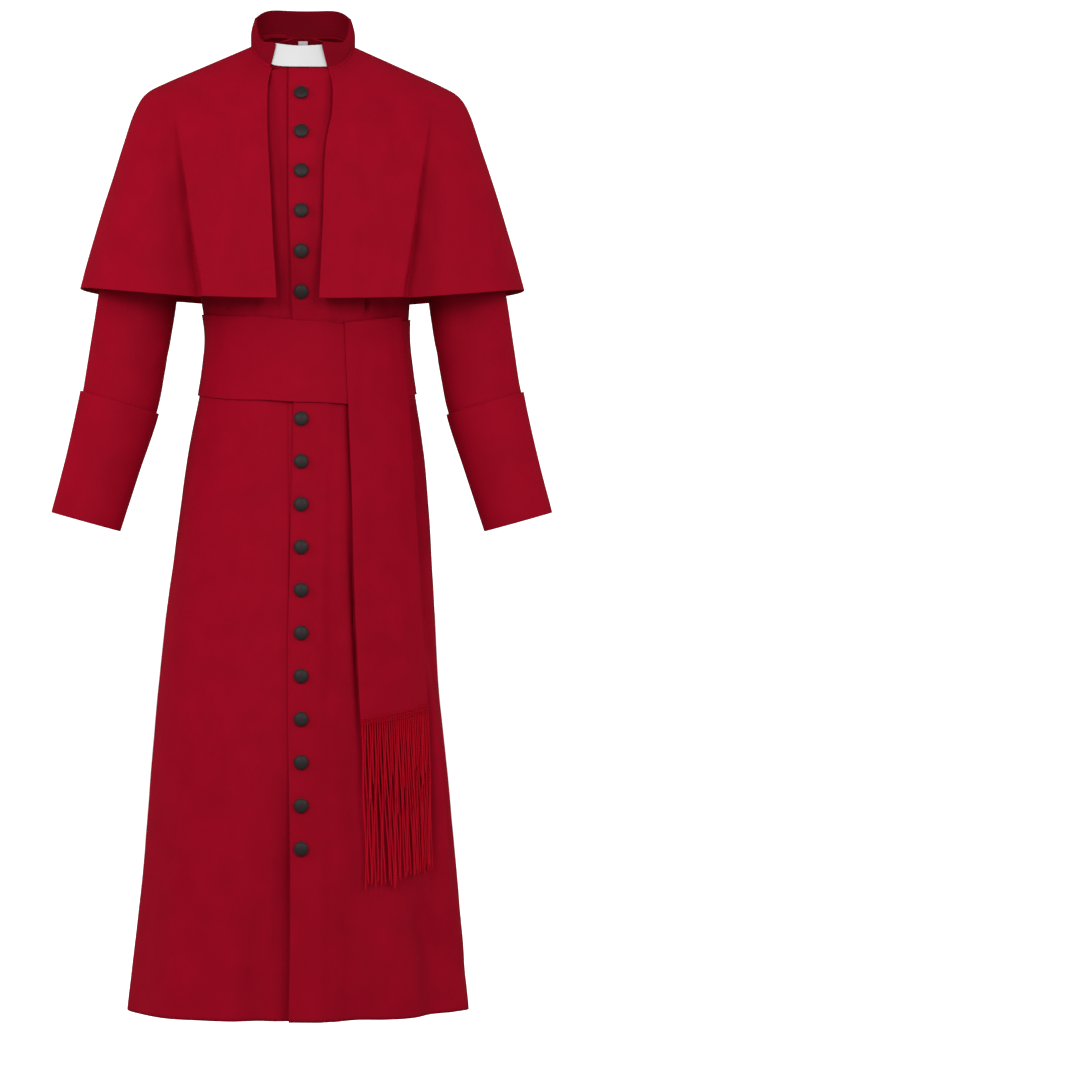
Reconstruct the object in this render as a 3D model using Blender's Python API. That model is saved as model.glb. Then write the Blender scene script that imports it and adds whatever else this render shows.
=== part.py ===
"""A full-length cassock with a shoulder cape, standing collar, turned-back cuffs and fringed sash.

Run it with: blender --background --python part.py
The garment hangs as it is worn, hollow, with its front towards -Y and its top towards +Z.
The origin is the middle of the neck, level with the top of the shoulders, where it is held.
Lengths in the tables are in millimetres, and angles are in degrees.
"""

from collections import namedtuple
from math import asin, atan2, cos, degrees, radians, sin

import bmesh
import bpy
from mathutils import Matrix, Vector

MM = 0.001

# ---------------------------------------------------------------- cloth and seams
CLOTH = 1.6
COLLAR_CLOTH = 3.0
TAB_THICKNESS = 1.0
LABEL_THICKNESS = 0.6
# Seams are cut this far apart, which leaves 0.3 mm at the inner corners of the curved walls.
SEAM_GAP = 0.8
SHOULDER_SETBACK = 0.9
ARMHOLE_GAP = 0.7
LAYER_GAP = 0.5
LIFT = CLOTH + LAYER_GAP
SASH_LIFT = 3.2

# ---------------------------------------------------------------- front closure
PLACKET_EDGE_TOP = 21.0
PLACKET_EDGE_HEM = 14.0
# The share of the front's length at which its edge starts to slant in towards the hem.
PLACKET_SLANTS_FROM = 0.4
UNDERLAP_TOP = 11.0
UNDERLAP = 22.0
LAP_LIFT = 3.5
LAP_FLAT_TO = 27.0
LAP_FADES_BY = 45.0
BUTTON_LINE = -1.0
BUTTON_RADIUS = 10.0
BUTTON_SIDES = 12
UPPER_BUTTONS = 6
UPPER_BUTTON_FIRST = -79.0
UPPER_BUTTON_PITCH = -58.4
LOWER_BUTTONS = 11
LOWER_BUTTON_FIRST = -555.0
LOWER_BUTTON_PITCH = -62.0

# ---------------------------------------------------------------- columns of each grid
FRONT_COLUMNS = 10
# The front's first columns stand at its edge, the middle and the underlap's depth.
LAP_COLUMNS = 3
BACK_COLUMNS = 20
CAPE_FRONT_COLUMNS = 10
CAPE_BACK_COLUMNS = 20
COLLAR_COLUMNS = 32
TAB_COLUMNS = 8
SASH_COLUMNS = 40
TAIL_COLUMNS = 5

RED = (0.30, 0.004, 0.014, 1.0)
FRINGE_RED = (0.33, 0.004, 0.012, 1.0)
WHITE = (0.85, 0.85, 0.86, 1.0)
CHARCOAL = (0.045, 0.038, 0.038, 1.0)

# A row of the bodice runs round from its start, on the neckline or the centre line, to the armhole.
# bend is the power of the row's fall: 1 is a straight shoulder, 2 a level row that curves.
Row = namedtuple("Row", "start_x start_y start_z side_x side_y side_z bend shift")

BODICE_FRONT = [
    Row(74, 0, -4, 196, 4, -63, 1.00, 0),
    Row(66, -31, -25, 194, -20, -76, 1.15, 0),
    Row(50, -48.5, -38, 190, -38, -97, 1.40, 0),
    Row(34, -58.6, -41, 186, -50, -121, 1.70, 0),
    Row(0, -62, -43.5, 181, -56, -147, 2.00, 0),
    Row(0, -86, -88, 177, -57, -174, 2.00, 0),
    Row(0, -103, -132, 173, -53, -203, 2.00, 0),
    Row(0, -114, -178, 171, -42, -231, 2.00, 0),
    Row(0, -122, -223, 171, -23, -256, 2.00, 0),
]
BODICE_BACK = [
    Row(74, 0, -4, 196, 4, -63, 1.00, 0),
    Row(66, 27, 2, 194, 26, -78, 1.15, 0),
    Row(50, 45, 9.5, 190, 44, -101, 1.40, 0),
    Row(24, 57, 17, 186, 56, -128, 1.70, 0),
    Row(0, 60, 19, 182, 62, -155, 2.00, 0),
    Row(0, 82, -35, 178, 62, -183, 2.00, 0),
    Row(0, 99, -93, 175, 56, -211, 2.00, 0),
    Row(0, 108, -151, 173, 42, -238, 2.00, 0),
    Row(0, 111, -208, 172, 23, -260, 2.00, 0),
]
NECK_ROW = 4

# Level rings of the body from the underarm to the hem, in half widths and depths from the side seam.
Ring = namedtuple("Ring", "z half_width front back shift")
SIDE_Y = 3.0
BODY = [
    Ring(-270, 172, 127, 112, 1.0),
    Ring(-325, 162, 126, 104, 3.0),
    Ring(-380, 154.5, 118, 96, 4.3),
    Ring(-430, 149.5, 111, 93, 6.5),
    Ring(-485, 154.5, 111, 98, 7.0),
    Ring(-535, 163, 114, 106, 6.5),
    Ring(-600, 174, 120, 118, 4.5),
    Ring(-672, 182, 125, 128, 2.0),
    Ring(-760, 190.5, 131, 138, -1.0),
    Ring(-860, 200, 138, 150, -4.5),
    Ring(-969, 209.5, 145, 163, -6.0),
    Ring(-1080, 219.5, 152, 177, -5.0),
    Ring(-1192, 229.5, 158, 192, -4.0),
    Ring(-1300, 240.5, 163, 205, -4.5),
    Ring(-1423.5, 253, 168, 218, -6.5),
]

# Soft folds of the skirt. Each runs down from its start to the hem and is deepest there.
# depth is outwards, so a trough is negative; width is the half width in degrees.
Fold = namedtuple("Fold", "name start_z start_angle hem_angle width depth")
SKIRT_FOLDS = [
    Fold("trough beside the placket", -1080, -13, -13, 11, -15),
    Fold("ridge beside the placket", -1080, 5, 8, 10, 5),
    Fold("ridge of the right front", -900, -44, -46, 14, 5),
    Fold("trough of the right side", -860, -72, -68, 12, -8),
    Fold("trough beside the sash tail", -620, 16, 20, 9, -9),
    Fold("ridge under the fringe", -860, 38, 36, 13, 8),
    Fold("trough of the left front", -900, 58, 53, 9, -13),
    Fold("ridge of the left side", -640, 74, 74, 10, 6),
    Fold("trough behind the left side", -700, 100, 96, 10, -12),
    Fold("ridge of the left back", -680, 122, 120, 13, 15),
    Fold("trough of the left back", -760, 144, 144, 10, -13),
    Fold("ridge of the middle back", -640, 172, 168, 15, 14),
    Fold("trough of the right back", -780, -158, -156, 11, -15),
    Fold("ridge of the right back", -690, -132, -130, 13, 13),
    Fold("trough behind the right side", -740, -106, -104, 11, -12),
]

# Rings of the shoulder cape: half width and height at the side, depth and height in front and behind.
# square is 2 for an ellipse and more for a squarer ring. bend is 2 where the ring slopes evenly
# from side to middle, and more where it drops close to the side and runs level across the middle.
CapeRing = namedtuple("CapeRing", "half_width side_z front front_z back back_z square bend")
CAPE = [
    CapeRing(77, 0, 70, -41, 65, 23, 2.0, 5.0),
    CapeRing(115, -17, 87, -69, 88, 4, 2.05, 3.0),
    CapeRing(160, -37, 103, -110, 106, -32, 2.1, 2.5),
    CapeRing(203, -56, 117, -150, 118, -76, 2.2, 2.1),
    CapeRing(232, -73, 127, -186, 126, -122, 2.3, 2.0),
    CapeRing(249, -102, 134, -222, 132, -170, 2.4, 2.0),
    CapeRing(266, -152, 139, -260, 137, -220, 2.5, 2.0),
    CapeRing(290, -226, 143, -303, 143, -274, 2.55, 2.0),
    CapeRing(312, -300, 146, -345, 149, -327, 2.6, 2.0),
    CapeRing(328, -360.5, 149, -382, 154, -374, 2.6, 2.0),
]
# How far each front edge of the cape stands from the middle, at each ring.
CapeEdge = namedtuple("CapeEdge", "right left")
CAPE_EDGES = [
    CapeEdge(46, 37),
    CapeEdge(51, 43),
    CapeEdge(52, 42),
    CapeEdge(51, 34),
    CapeEdge(49, 31),
    CapeEdge(47, 30),
    CapeEdge(45, 29),
    CapeEdge(43, 27),
    CapeEdge(40, 25),
    CapeEdge(38, 23),
]
# Folds of the cape between arm and chest: sharp towards the chest, soft over the arm.
CapeFold = namedtuple("CapeFold", "start_ring start_angle hem_angle chest_width arm_width depth")
CAPE_FOLDS = [
    CapeFold(3, -59, -25, 5, 17, -20),
    CapeFold(3, 59, 25, 5, 17, -20),
    CapeFold(4, -146, -152, 12, 14, -16),
    CapeFold(4, 142, 148, 14, 12, -16),
]
# The cape's folds are at their full depth this share of the way down from their start.
CAPE_FOLD_FULL_AT = 0.7

# Sections of the sleeve after the armhole: centre, lean of the axis, half width and half depth.
# lean is 0 where the sleeve runs sideways and 90 where it hangs straight down.
Section = namedtuple("Section", "x y z lean half_width half_depth")
SLEEVE = [
    Section(199, 2, -177, 13, 100, 61),
    Section(211, 1, -200, 23.6, 86, 62),
    Section(220, 0, -231, 36.7, 73, 60),
    Section(227.5, -1, -268, 52.7, 63, 56),
    Section(236.5, -3, -322, 70, 58.5, 51),
    Section(245.5, -6, -388, 77.5, 58.5, 47),
    Section(257.5, -10, -461, 77.5, 57.5, 45),
    Section(269.5, -15, -528, 73.5, 56.5, 43),
    Section(292.5, -21, -614, 74, 53.5, 41),
    Section(316.5, -27, -698, 74.4, 50.5, 38),
]
CUFF_ROWS = 2
CUFF_TOP_SECTION = 7
CUFF_TOP_FLARE = 1.6
CUFF_END = 5.2

# Rings of the collar, from its seam to its top fold.
COLLAR = [
    CapeRing(77.2, 1.0, 70.2, -40.0, 65.2, 24.0, 2.0, 5.0),
    CapeRing(75.8, 22, 67.5, -21, 63.8, 43, 2.0, 7.0),
    CapeRing(71.0, 43, 63, 1.0, 60, 62.5, 2.0, 11.0),
]
# Where the collar's front ends stand from the middle, at its seam and at its top.
CollarEnd = namedtuple("CollarEnd", "seam top")
COLLAR_LEFT_END = CollarEnd(37.0, 27.5)
COLLAR_RIGHT_END = CollarEnd(48.5, 40.0)
COLLAR_BACK_BEND = 6.0
TAB_TUCK = 9.0
TAB_DROP = 7.0
TAB_SET_BACK = 11.6
TAB_BELOW_TOP = 3.0

# The sash round the waist: the heights of its two edges, round from the front middle.
SashEdge = namedtuple("SashEdge", "angle top bottom")
SASH = [
    SashEdge(-180, -402, -519),
    SashEdge(-90, -398, -517),
    SashEdge(-30, -406, -527),
    SashEdge(0, -413, -531),
    SashEdge(30, -419, -534),
    SashEdge(90, -404, -514),
    SashEdge(180, -402, -519),
]
SASH_ROWS = 4

# The hanging end of the sash: where its two edges are, and how far each stands off the skirt.
TailRow = namedtuple("TailRow", "left_z right_z left_x right_x left_off right_off")
TAIL = [
    TailRow(-421, -409, 61, 147, 6.0, 6.0),
    TailRow(-470, -460, 63, 151, 6.0, 6.0),
    TailRow(-530, -520, 66, 157, 6.0, 6.0),
    TailRow(-600, -590, 69, 162, 6.0, 5.6),
    TailRow(-680, -670, 72, 166, 7.0, 5.4),
    TailRow(-760, -750, 74, 171, 8.5, 5.4),
    TailRow(-840, -828, 77, 175, 10.0, 5.8),
    TailRow(-920, -906, 81, 180, 11.0, 6.4),
    TailRow(-995, -979, 85, 184, 12.0, 7.2),
]
FRINGE_STRANDS = 42
FRINGE_STRAND_SHARE = 0.7
FRINGE_SWAY = 0.13
FRINGE_DEPTH = 1.8
FRINGE_HEADING_UP = 6.0
FRINGE_HEADING_DOWN = 4.0
FRONT_FRINGE_LENGTH = 146.0
BACK_FRINGE_LENGTH = 238.0
# How much shorter the shortest strands of each layer are than its longest.
FRONT_FRINGE_RAGGEDNESS = 9.0
BACK_FRINGE_RAGGEDNESS = 12.0
# Radians from one strand to the next, which set how their sways and lengths differ.
SWAY_STEP = 2.3
SWAY_DOWN = 4.0
RAGGED_STEP = 1.7

LABEL_HALF_WIDTH = 7.0
LABEL_BELOW_EDGE = 1.5
LABEL_HEIGHT = 18.0

# Faces that meet at less than this many degrees are shaded as one surface.
SMOOTH_BELOW = 40


def ease(share):
    """0 to 1 with a soft start and end, held outside that range."""
    t = min(1.0, max(0.0, share))
    return t * t * (3 - 2 * t)


def between(low, high, share):
    return low + (high - low) * share


def mixed(first, second, share):
    """A named row part of the way from one row of a table to the next."""
    return type(first)(*(between(a, b, share) for a, b in zip(first, second)))


def clear_scene():
    for thing in list(bpy.data.objects):
        bpy.data.objects.remove(thing)


def material(name, colour, roughness):
    made = bpy.data.materials.new(name)
    made.use_nodes = True
    shader = made.node_tree.nodes["Principled BSDF"]
    shader.inputs["Base Color"].default_value = colour
    shader.inputs["Roughness"].default_value = roughness
    shader.inputs["Metallic"].default_value = 0.0
    made.diffuse_color = colour
    return made


def finish(name, shape, finish_of):
    """Turns a bmesh in millimetres into a named object in metres."""
    bmesh.ops.scale(shape, vec=(MM, MM, MM), verts=shape.verts)
    mesh = bpy.data.meshes.new(name)
    shape.to_mesh(mesh)
    shape.free()
    mesh.materials.append(finish_of)
    mesh.shade_smooth()
    mesh.set_sharp_from_angle(angle=radians(SMOOTH_BELOW))
    thing = bpy.data.objects.new(name, mesh)
    bpy.context.scene.collection.objects.link(thing)
    return thing


def wall(name, columns, rows, point, finish_of, thickness=CLOTH, closed=False, turned=False):
    """A sheet of cloth: a grid put on the surface point(column, row), then thickened inwards.

    turned is for a grid whose columns and rows run so that its faces would point inwards.
    """
    shape = bmesh.new()
    bmesh.ops.create_grid(shape, x_segments=columns, y_segments=rows, size=1.0)
    for vert in shape.verts:
        column = round((vert.co.x + 1) / 2 * columns)
        row = round((vert.co.y + 1) / 2 * rows)
        vert.co = point(column % columns if closed else column, row)
    if closed:
        bmesh.ops.remove_doubles(shape, verts=shape.verts, dist=0.001)
    if turned:
        bmesh.ops.reverse_faces(shape, faces=shape.faces)
    bmesh.ops.triangulate(shape, faces=shape.faces, quad_method="FIXED")
    thing = finish(name, shape, finish_of)
    solid = thing.modifiers.new("cloth thickness", "SOLIDIFY")
    solid.thickness = thickness * MM
    solid.offset = -1
    solid.use_quality_normals = True
    return thing


# ---------------------------------------------------------------- body
def row_point(row, angle, out=0.0, side=1):
    """A point of a row: angle 0 is the middle of the body and 90 its side."""
    turn = radians(angle)
    start = asin(row.start_x / row.side_x)
    apex_y = (row.start_y - row.side_y * (1 - cos(start))) / cos(start)
    fall_to_start = abs(sin(start)) ** row.bend
    apex_z = (row.start_z - row.side_z * fall_to_start) / (1 - fall_to_start)
    depth = apex_y - row.side_y
    forward = -1 if depth < 0 else 1
    facing = Vector((abs(depth) * sin(turn), forward * row.side_x * cos(turn), 0)).normalized()
    place = Vector(
        (
            row.side_x * sin(turn),
            row.side_y + depth * cos(turn),
            between(apex_z, row.side_z, abs(sin(turn)) ** row.bend),
        )
    )
    place += facing * out
    return Vector((side * place.x + row.shift, place.y, place.z))


def ring_row(ring, behind):
    """The front or back half of a level ring, as a row."""
    depth = ring.back if behind else -ring.front
    return Row(0, depth, ring.z, ring.half_width, SIDE_Y, ring.z, 2.0, ring.shift)


def fold_reach(angle, z):
    """How far the skirt's folds stand out from its plain form at this place."""
    reach = 0.0
    hem = BODY[-1].z
    for fold in SKIRT_FOLDS:
        down = (fold.start_z - z) / (fold.start_z - hem)
        if down <= 0:
            continue
        middle = between(fold.start_angle, fold.hem_angle, down)
        off = abs((angle - middle + 180) % 360 - 180) / fold.width
        reach += fold.depth * ease(down) * (1 - ease(off))
    return reach


def ring_point(ring, angle, out=0.0):
    """A point of a level ring, round from the front middle towards +X, folds included."""
    angle = (angle + 180) % 360 - 180
    side = 1 if angle >= 0 else -1
    behind = abs(angle) > 90
    local = 180 - abs(angle) if behind else abs(angle)
    return row_point(ring_row(ring, behind), local, out + fold_reach(angle, ring.z), side)


def body_point(angle, z, out=0.0):
    """A point of the body between two of its rings, on the straight line that joins them."""
    below = next((i for i, ring in enumerate(BODY) if ring.z <= z), len(BODY) - 1)
    below = max(below, 1)
    upper, lower = BODY[below - 1], BODY[below]
    share = (z - upper.z) / (lower.z - upper.z)
    return ring_point(upper, angle, out).lerp(ring_point(lower, angle, out), share)


def body_angle(x, z, out=0.0):
    """The angle round the front of the body at which its surface stands at x."""
    below = next((i for i, ring in enumerate(BODY) if ring.z <= z), len(BODY) - 1)
    below = max(below, 1)
    upper, lower = BODY[below - 1], BODY[below]
    ring = mixed(upper, lower, (z - upper.z) / (lower.z - upper.z))
    return degrees(asin((x - ring.shift) / (ring.half_width + out)))


def lap(x):
    """How far the lapping front stands over the front beneath it, at x from the middle."""
    return LAP_LIFT * (1 - ease((x - LAP_FLAT_TO) / (LAP_FADES_BY - LAP_FLAT_TO)))


def front_rows():
    return BODICE_FRONT + [ring_row(ring, False) for ring in BODY]


def front_point(side, edge_top, edge_hem, lapping, column, row_number):
    """A point of one front: its first columns lie across the middle, where the fronts lap."""
    rows = front_rows()
    row = rows[row_number]
    down = max(0, row_number - NECK_ROW) / (len(rows) - 1 - NECK_ROW)
    slanted = ease((down - PLACKET_SLANTS_FROM) / (1 - PLACKET_SLANTS_FROM))
    edge = between(edge_top, edge_hem, slanted)
    under = degrees(asin(UNDERLAP / row.side_x))
    if row_number < NECK_ROW:
        start = degrees(asin(row.start_x / row.side_x))
        angle = between(start, 90, column / FRONT_COLUMNS)
    elif column < LAP_COLUMNS:
        angle = (-degrees(asin(edge / row.side_x)), 0.0, under)[column]
    else:
        last_lap = LAP_COLUMNS - 1
        angle = between(under, 90, (column - last_lap) / (FRONT_COLUMNS - last_lap))
    x = row.side_x * sin(radians(angle))
    out = lap(x) if lapping else 0.0
    ring_number = row_number - len(BODICE_FRONT)
    if ring_number >= 0:
        out += fold_reach(side * angle, BODY[ring_number].z)
    place = row_point(row, angle, out, side)
    place.y -= seam_setback(row_number)
    return place


def seam_setback(row_number):
    """How far a panel's row stands back from the line of its seam."""
    return SEAM_GAP / 2 + (SHOULDER_SETBACK if row_number == 0 else 0.0)


def back_point(column, row_number):
    rows = BODICE_BACK + [ring_row(ring, True) for ring in BODY]
    row = rows[row_number]
    share = 2 * column / BACK_COLUMNS - 1
    side = -1 if share < 0 else 1
    start = degrees(asin(row.start_x / row.side_x))
    angle = between(start, 90, abs(share))
    out = 0.0
    ring_number = row_number - len(BODICE_BACK)
    if ring_number >= 0:
        out = fold_reach(side * (180 - angle), BODY[ring_number].z)
    place = row_point(row, angle, out, side)
    place.y += SEAM_GAP / 2
    return place


def shoulder_point(side, column, row_number):
    """The upper back beside the neck, one half at a time, from the shoulder seam down."""
    row = BODICE_BACK[row_number]
    start = degrees(asin(row.start_x / row.side_x))
    place = row_point(row, between(start, 90, column / (BACK_COLUMNS // 2)), 0.0, side)
    place.y += seam_setback(row_number)
    return place


def make_body(cloth):
    rows = len(front_rows()) - 1
    wall(
        "front_left",
        FRONT_COLUMNS,
        rows,
        lambda c, r: front_point(1, PLACKET_EDGE_TOP, PLACKET_EDGE_HEM, True, c, r),
        cloth,
        turned=True,
    )
    wall(
        "front_right",
        FRONT_COLUMNS,
        rows,
        lambda c, r: front_point(-1, UNDERLAP_TOP, UNDERLAP, False, c, r),
        cloth,
    )
    make_back(cloth, rows)


def make_back(cloth, rows):
    """The back is one piece, but its grid splits at the neck, where its two shoulders part."""
    shape = bmesh.new()
    half = BACK_COLUMNS // 2
    layer = {}
    for side in (-1, 1):
        for row in range(rows + 1):
            for column in range(half + 1):
                across = side * column if row >= NECK_ROW else side * (column + 0.5)
                key = (across, row)
                if key in layer:
                    continue
                if row < NECK_ROW:
                    layer[key] = shape.verts.new(shoulder_point(side, column, row))
                else:
                    layer[key] = shape.verts.new(back_point(half + side * column, row))
    for side in (-1, 1):
        for row in range(rows):
            for column in range(half):
                ring = [(column, row), (column + 1, row), (column + 1, row + 1), (column, row + 1)]
                keys = [(side * c if r >= NECK_ROW else side * (c + 0.5), r) for c, r in ring]
                corners = [layer[key] for key in keys]
                shape.faces.new(corners if side > 0 else corners[::-1])
    bmesh.ops.triangulate(shape, faces=shape.faces, quad_method="FIXED")
    thing = finish("back", shape, cloth)
    solid = thing.modifiers.new("cloth thickness", "SOLIDIFY")
    solid.thickness = CLOTH * MM
    solid.offset = -1
    solid.use_quality_normals = True


# ---------------------------------------------------------------- sleeves
def armhole(side):
    """The armhole's own points, round from the shoulder by the front, the underarm and the back."""
    under = Row(0, 0, 0, BODY[0].half_width, SIDE_Y, BODY[0].z, 2.0, BODY[0].shift)
    front = [*BODICE_FRONT, under]
    back = [under, *BODICE_BACK[:0:-1]]
    rows = front + back[1:]
    return [Vector((side * r.side_x + r.shift, r.side_y, r.side_z)) for r in rows]


def armhole_turns():
    """The angle round the sleeve of each of the armhole's points, from the shoulder by the front."""
    hole = armhole(1)
    middle = Vector((0, SIDE_Y, (hole[0].z + BODY[0].z) / 2))
    half_height = (hole[0].z - BODY[0].z) / 2
    half_depth = max(abs(point.y - middle.y) for point in hole)
    return [
        atan2((middle.y - point.y) / half_depth, (point.z - middle.z) / half_height)
        for point in hole
    ]


def section_point(section, turn, out, side):
    lean = radians(section.lean)
    outwards = Vector((sin(lean), 0, cos(lean)))
    across = outwards * (section.half_width + out) * cos(turn)
    forwards = Vector((0, -(section.half_depth + out) * sin(turn), 0))
    place = Vector((section.x, section.y, section.z)) + across + forwards
    return Vector((side * place.x, place.y, place.z))


def sleeve_point(side, column, row):
    if row == 0:
        return armhole(side)[column] + Vector((side * ARMHOLE_GAP, 0, 0))
    return section_point(SLEEVE[row - 1], armhole_turns()[column], 0.0, side)


def cuff_point(side, column, row):
    """The cuff lies on the sleeve's lower end, moved out from the sleeve's own points."""
    first = CUFF_TOP_SECTION
    along = first + (len(SLEEVE) - 1 - first) * row / CUFF_ROWS
    below = min(int(along), len(SLEEVE) - 2)
    section = mixed(SLEEVE[below], SLEEVE[below + 1], along - below)
    flare = CUFF_TOP_FLARE * (1 - ease(2 * row / CUFF_ROWS))
    place = section_point(section, armhole_turns()[column], LIFT + flare, side)
    if row == CUFF_ROWS:
        lean = radians(section.lean)
        place += Vector((side * cos(lean), 0, -sin(lean))) * CUFF_END
    return place


def make_sleeves(cloth):
    for name, side in (("right", -1), ("left", 1)):
        columns = len(armhole(side))
        wall(
            f"sleeve_{name}",
            columns,
            len(SLEEVE),
            lambda c, r, s=side: sleeve_point(s, c, r),
            cloth,
            closed=True,
            turned=side < 0,
        )
        wall(
            f"cuff_{name}",
            columns,
            CUFF_ROWS,
            lambda c, r, s=side: cuff_point(s, c, r),
            cloth,
            closed=True,
            turned=side < 0,
        )


# ---------------------------------------------------------------- cape and collar
def cape_ring_point(ring, angle, out=0.0):
    """A point of a ring that dips from one side to the other, as the cape's and the collar's do."""
    turn = radians(angle)
    power = 2 / ring.square
    depth = ring.back if abs(angle) > 90 else ring.front
    middle_z = ring.back_z if abs(angle) > 90 else ring.front_z
    across = abs(sin(turn)) ** power
    along = abs(cos(turn)) ** power
    side = 1 if sin(turn) >= 0 else -1
    forward = -1 if cos(turn) >= 0 else 1
    facing = Vector((side * across / ring.half_width, forward * along / depth, 0)).normalized()
    place = Vector(
        (
            side * across * ring.half_width,
            forward * along * depth,
            between(middle_z, ring.side_z, abs(sin(turn)) ** ring.bend),
        )
    )
    return place + facing * out


def cape_fold_reach(angle, row):
    """How far the cape's folds stand out at this ring: a sharp flank by the chest, a soft one by the arm."""
    reach = 0.0
    last = len(CAPE) - 1
    for fold in CAPE_FOLDS:
        down = (row - fold.start_ring) / (last - fold.start_ring)
        if down <= 0:
            continue
        middle = between(fold.start_angle, fold.hem_angle, down)
        off = abs(angle) - abs(middle) if angle * middle > 0 else 180
        width = fold.arm_width if off > 0 else fold.chest_width
        reach += fold.depth * ease(down / CAPE_FOLD_FULL_AT) * (1 - ease(abs(off) / width))
    return reach


def edge_angle(ring, x):
    """The angle at which a ring of the cape or collar stands at x from the middle."""
    return degrees(asin((x / ring.half_width) ** (ring.square / 2)))


def cape_front_point(side, column, row):
    ring = CAPE[row]
    edge = CAPE_EDGES[row].left if side > 0 else CAPE_EDGES[row].right
    angle = side * between(edge_angle(ring, edge), 90, column / CAPE_FRONT_COLUMNS)
    place = cape_ring_point(ring, angle, cape_fold_reach(angle, row))
    place.y -= SEAM_GAP / 2
    return place


def cape_back_point(column, row):
    angle = between(90, 270, column / CAPE_BACK_COLUMNS)
    angle = angle if angle <= 180 else angle - 360
    place = cape_ring_point(CAPE[row], angle, cape_fold_reach(angle, row))
    place.y += SEAM_GAP / 2
    return place


def make_cape(cloth):
    rows = len(CAPE) - 1
    for name, side in (("right", -1), ("left", 1)):
        wall(
            f"cape_front_{name}",
            CAPE_FRONT_COLUMNS,
            rows,
            lambda c, r, s=side: cape_front_point(s, c, r),
            cloth,
            turned=side > 0,
        )
    wall("cape_back", CAPE_BACK_COLUMNS, rows, cape_back_point, cloth, turned=True)


def collar_end_angle(ring, end, share, tuck=0.0):
    return edge_angle(ring, between(end.seam, end.top, share) + tuck)


def collar_point(column, row):
    """The collar runs from its left front end round the back of the neck to its right one."""
    ring = COLLAR[row]
    share = row / (len(COLLAR) - 1)
    first = collar_end_angle(ring, COLLAR_LEFT_END, share)
    last = 360 - collar_end_angle(ring, COLLAR_RIGHT_END, share)
    angle = between(first, last, column / COLLAR_COLUMNS)
    if 90 < angle < 270:
        ring = ring._replace(bend=COLLAR_BACK_BEND)
    return cape_ring_point(ring, angle if angle <= 180 else angle - 360)


def tab_point(column, row):
    """The tab lies inside the collar's ends, and its foot is tucked behind the fronts."""
    share = row / 2
    inwards = -between(TAB_SET_BACK, COLLAR_CLOTH, share)
    ring = mixed(COLLAR[0], COLLAR[1], 2 * share) if share < 0.5 else mixed(COLLAR[1], COLLAR[2], 2 * share - 1)
    first = -collar_end_angle(ring, COLLAR_RIGHT_END, share, TAB_TUCK)
    last = collar_end_angle(ring, COLLAR_LEFT_END, share, TAB_TUCK)
    angle = between(first, last, column / TAB_COLUMNS)
    place = cape_ring_point(ring, angle, inwards)
    place.z -= between(TAB_DROP, TAB_BELOW_TOP, share)
    return place


def label_point(column, row):
    """A bare label on the inside of the back neck, just under the collar's seam."""
    upper = row_point(BODICE_BACK[NECK_ROW], 0)
    lower = row_point(BODICE_BACK[NECK_ROW + 1], 0)
    along = (lower - upper).normalized()
    outwards = Vector((0, -along.z, along.y))
    place = upper + along * (LABEL_BELOW_EDGE + LABEL_HEIGHT * row)
    place -= outwards * (CLOTH + LAYER_GAP)
    return place + Vector((LABEL_HALF_WIDTH * (2 * column - 1), 0, 0))


def make_collar(cloth, white):
    rows = len(COLLAR) - 1
    wall("collar", COLLAR_COLUMNS, rows, collar_point, cloth, thickness=COLLAR_CLOTH)
    wall("collar_tab", TAB_COLUMNS, 2, tab_point, white, thickness=TAB_THICKNESS)
    wall("neck_label", 1, 1, label_point, white, thickness=LABEL_THICKNESS)


# ---------------------------------------------------------------- sash
def sash_edges(angle):
    """The heights of the sash's top and bottom edge at this angle."""
    angle = (angle + 180) % 360 - 180
    after = next(i for i, edge in enumerate(SASH) if edge.angle > angle)
    first, second = SASH[after - 1], SASH[after]
    share = ease((angle - first.angle) / (second.angle - first.angle))
    return between(first.top, second.top, share), between(first.bottom, second.bottom, share)


def sash_out(angle):
    """How far the sash's outer face stands off the body: more where the fronts lap beneath it."""
    x = BODY[3].half_width * sin(radians(angle)) if abs(angle) < 90 else LAP_FADES_BY
    return SASH_LIFT + lap(max(x, 0.0) if x > -2 * PLACKET_EDGE_TOP else LAP_FADES_BY)


def sash_point(column, row):
    angle = between(-180, 180, column / SASH_COLUMNS)
    top, bottom = sash_edges(angle)
    return body_point(angle, between(top, bottom, row / SASH_ROWS), sash_out(angle))


def tail_corner(column, row, out):
    """A corner of the hanging end of the sash, columns across from its inner edge to its outer one."""
    across = column / TAIL_COLUMNS
    z = between(row.left_z, row.right_z, across)
    first = body_angle(row.left_x, row.left_z, row.left_off)
    last = body_angle(row.right_x, row.right_z, row.right_off)
    off = between(row.left_off, row.right_off, across) + out
    return body_point(between(first, last, across), z, off)


def tail_point(across, row, out=0.0):
    """A point of the hanging end of the sash, on the flat stretch between two of its corners."""
    column = min(int(across * TAIL_COLUMNS), TAIL_COLUMNS - 1)
    share = across * TAIL_COLUMNS - column
    return tail_corner(column, row, out).lerp(tail_corner(column + 1, row, out), share)


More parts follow.
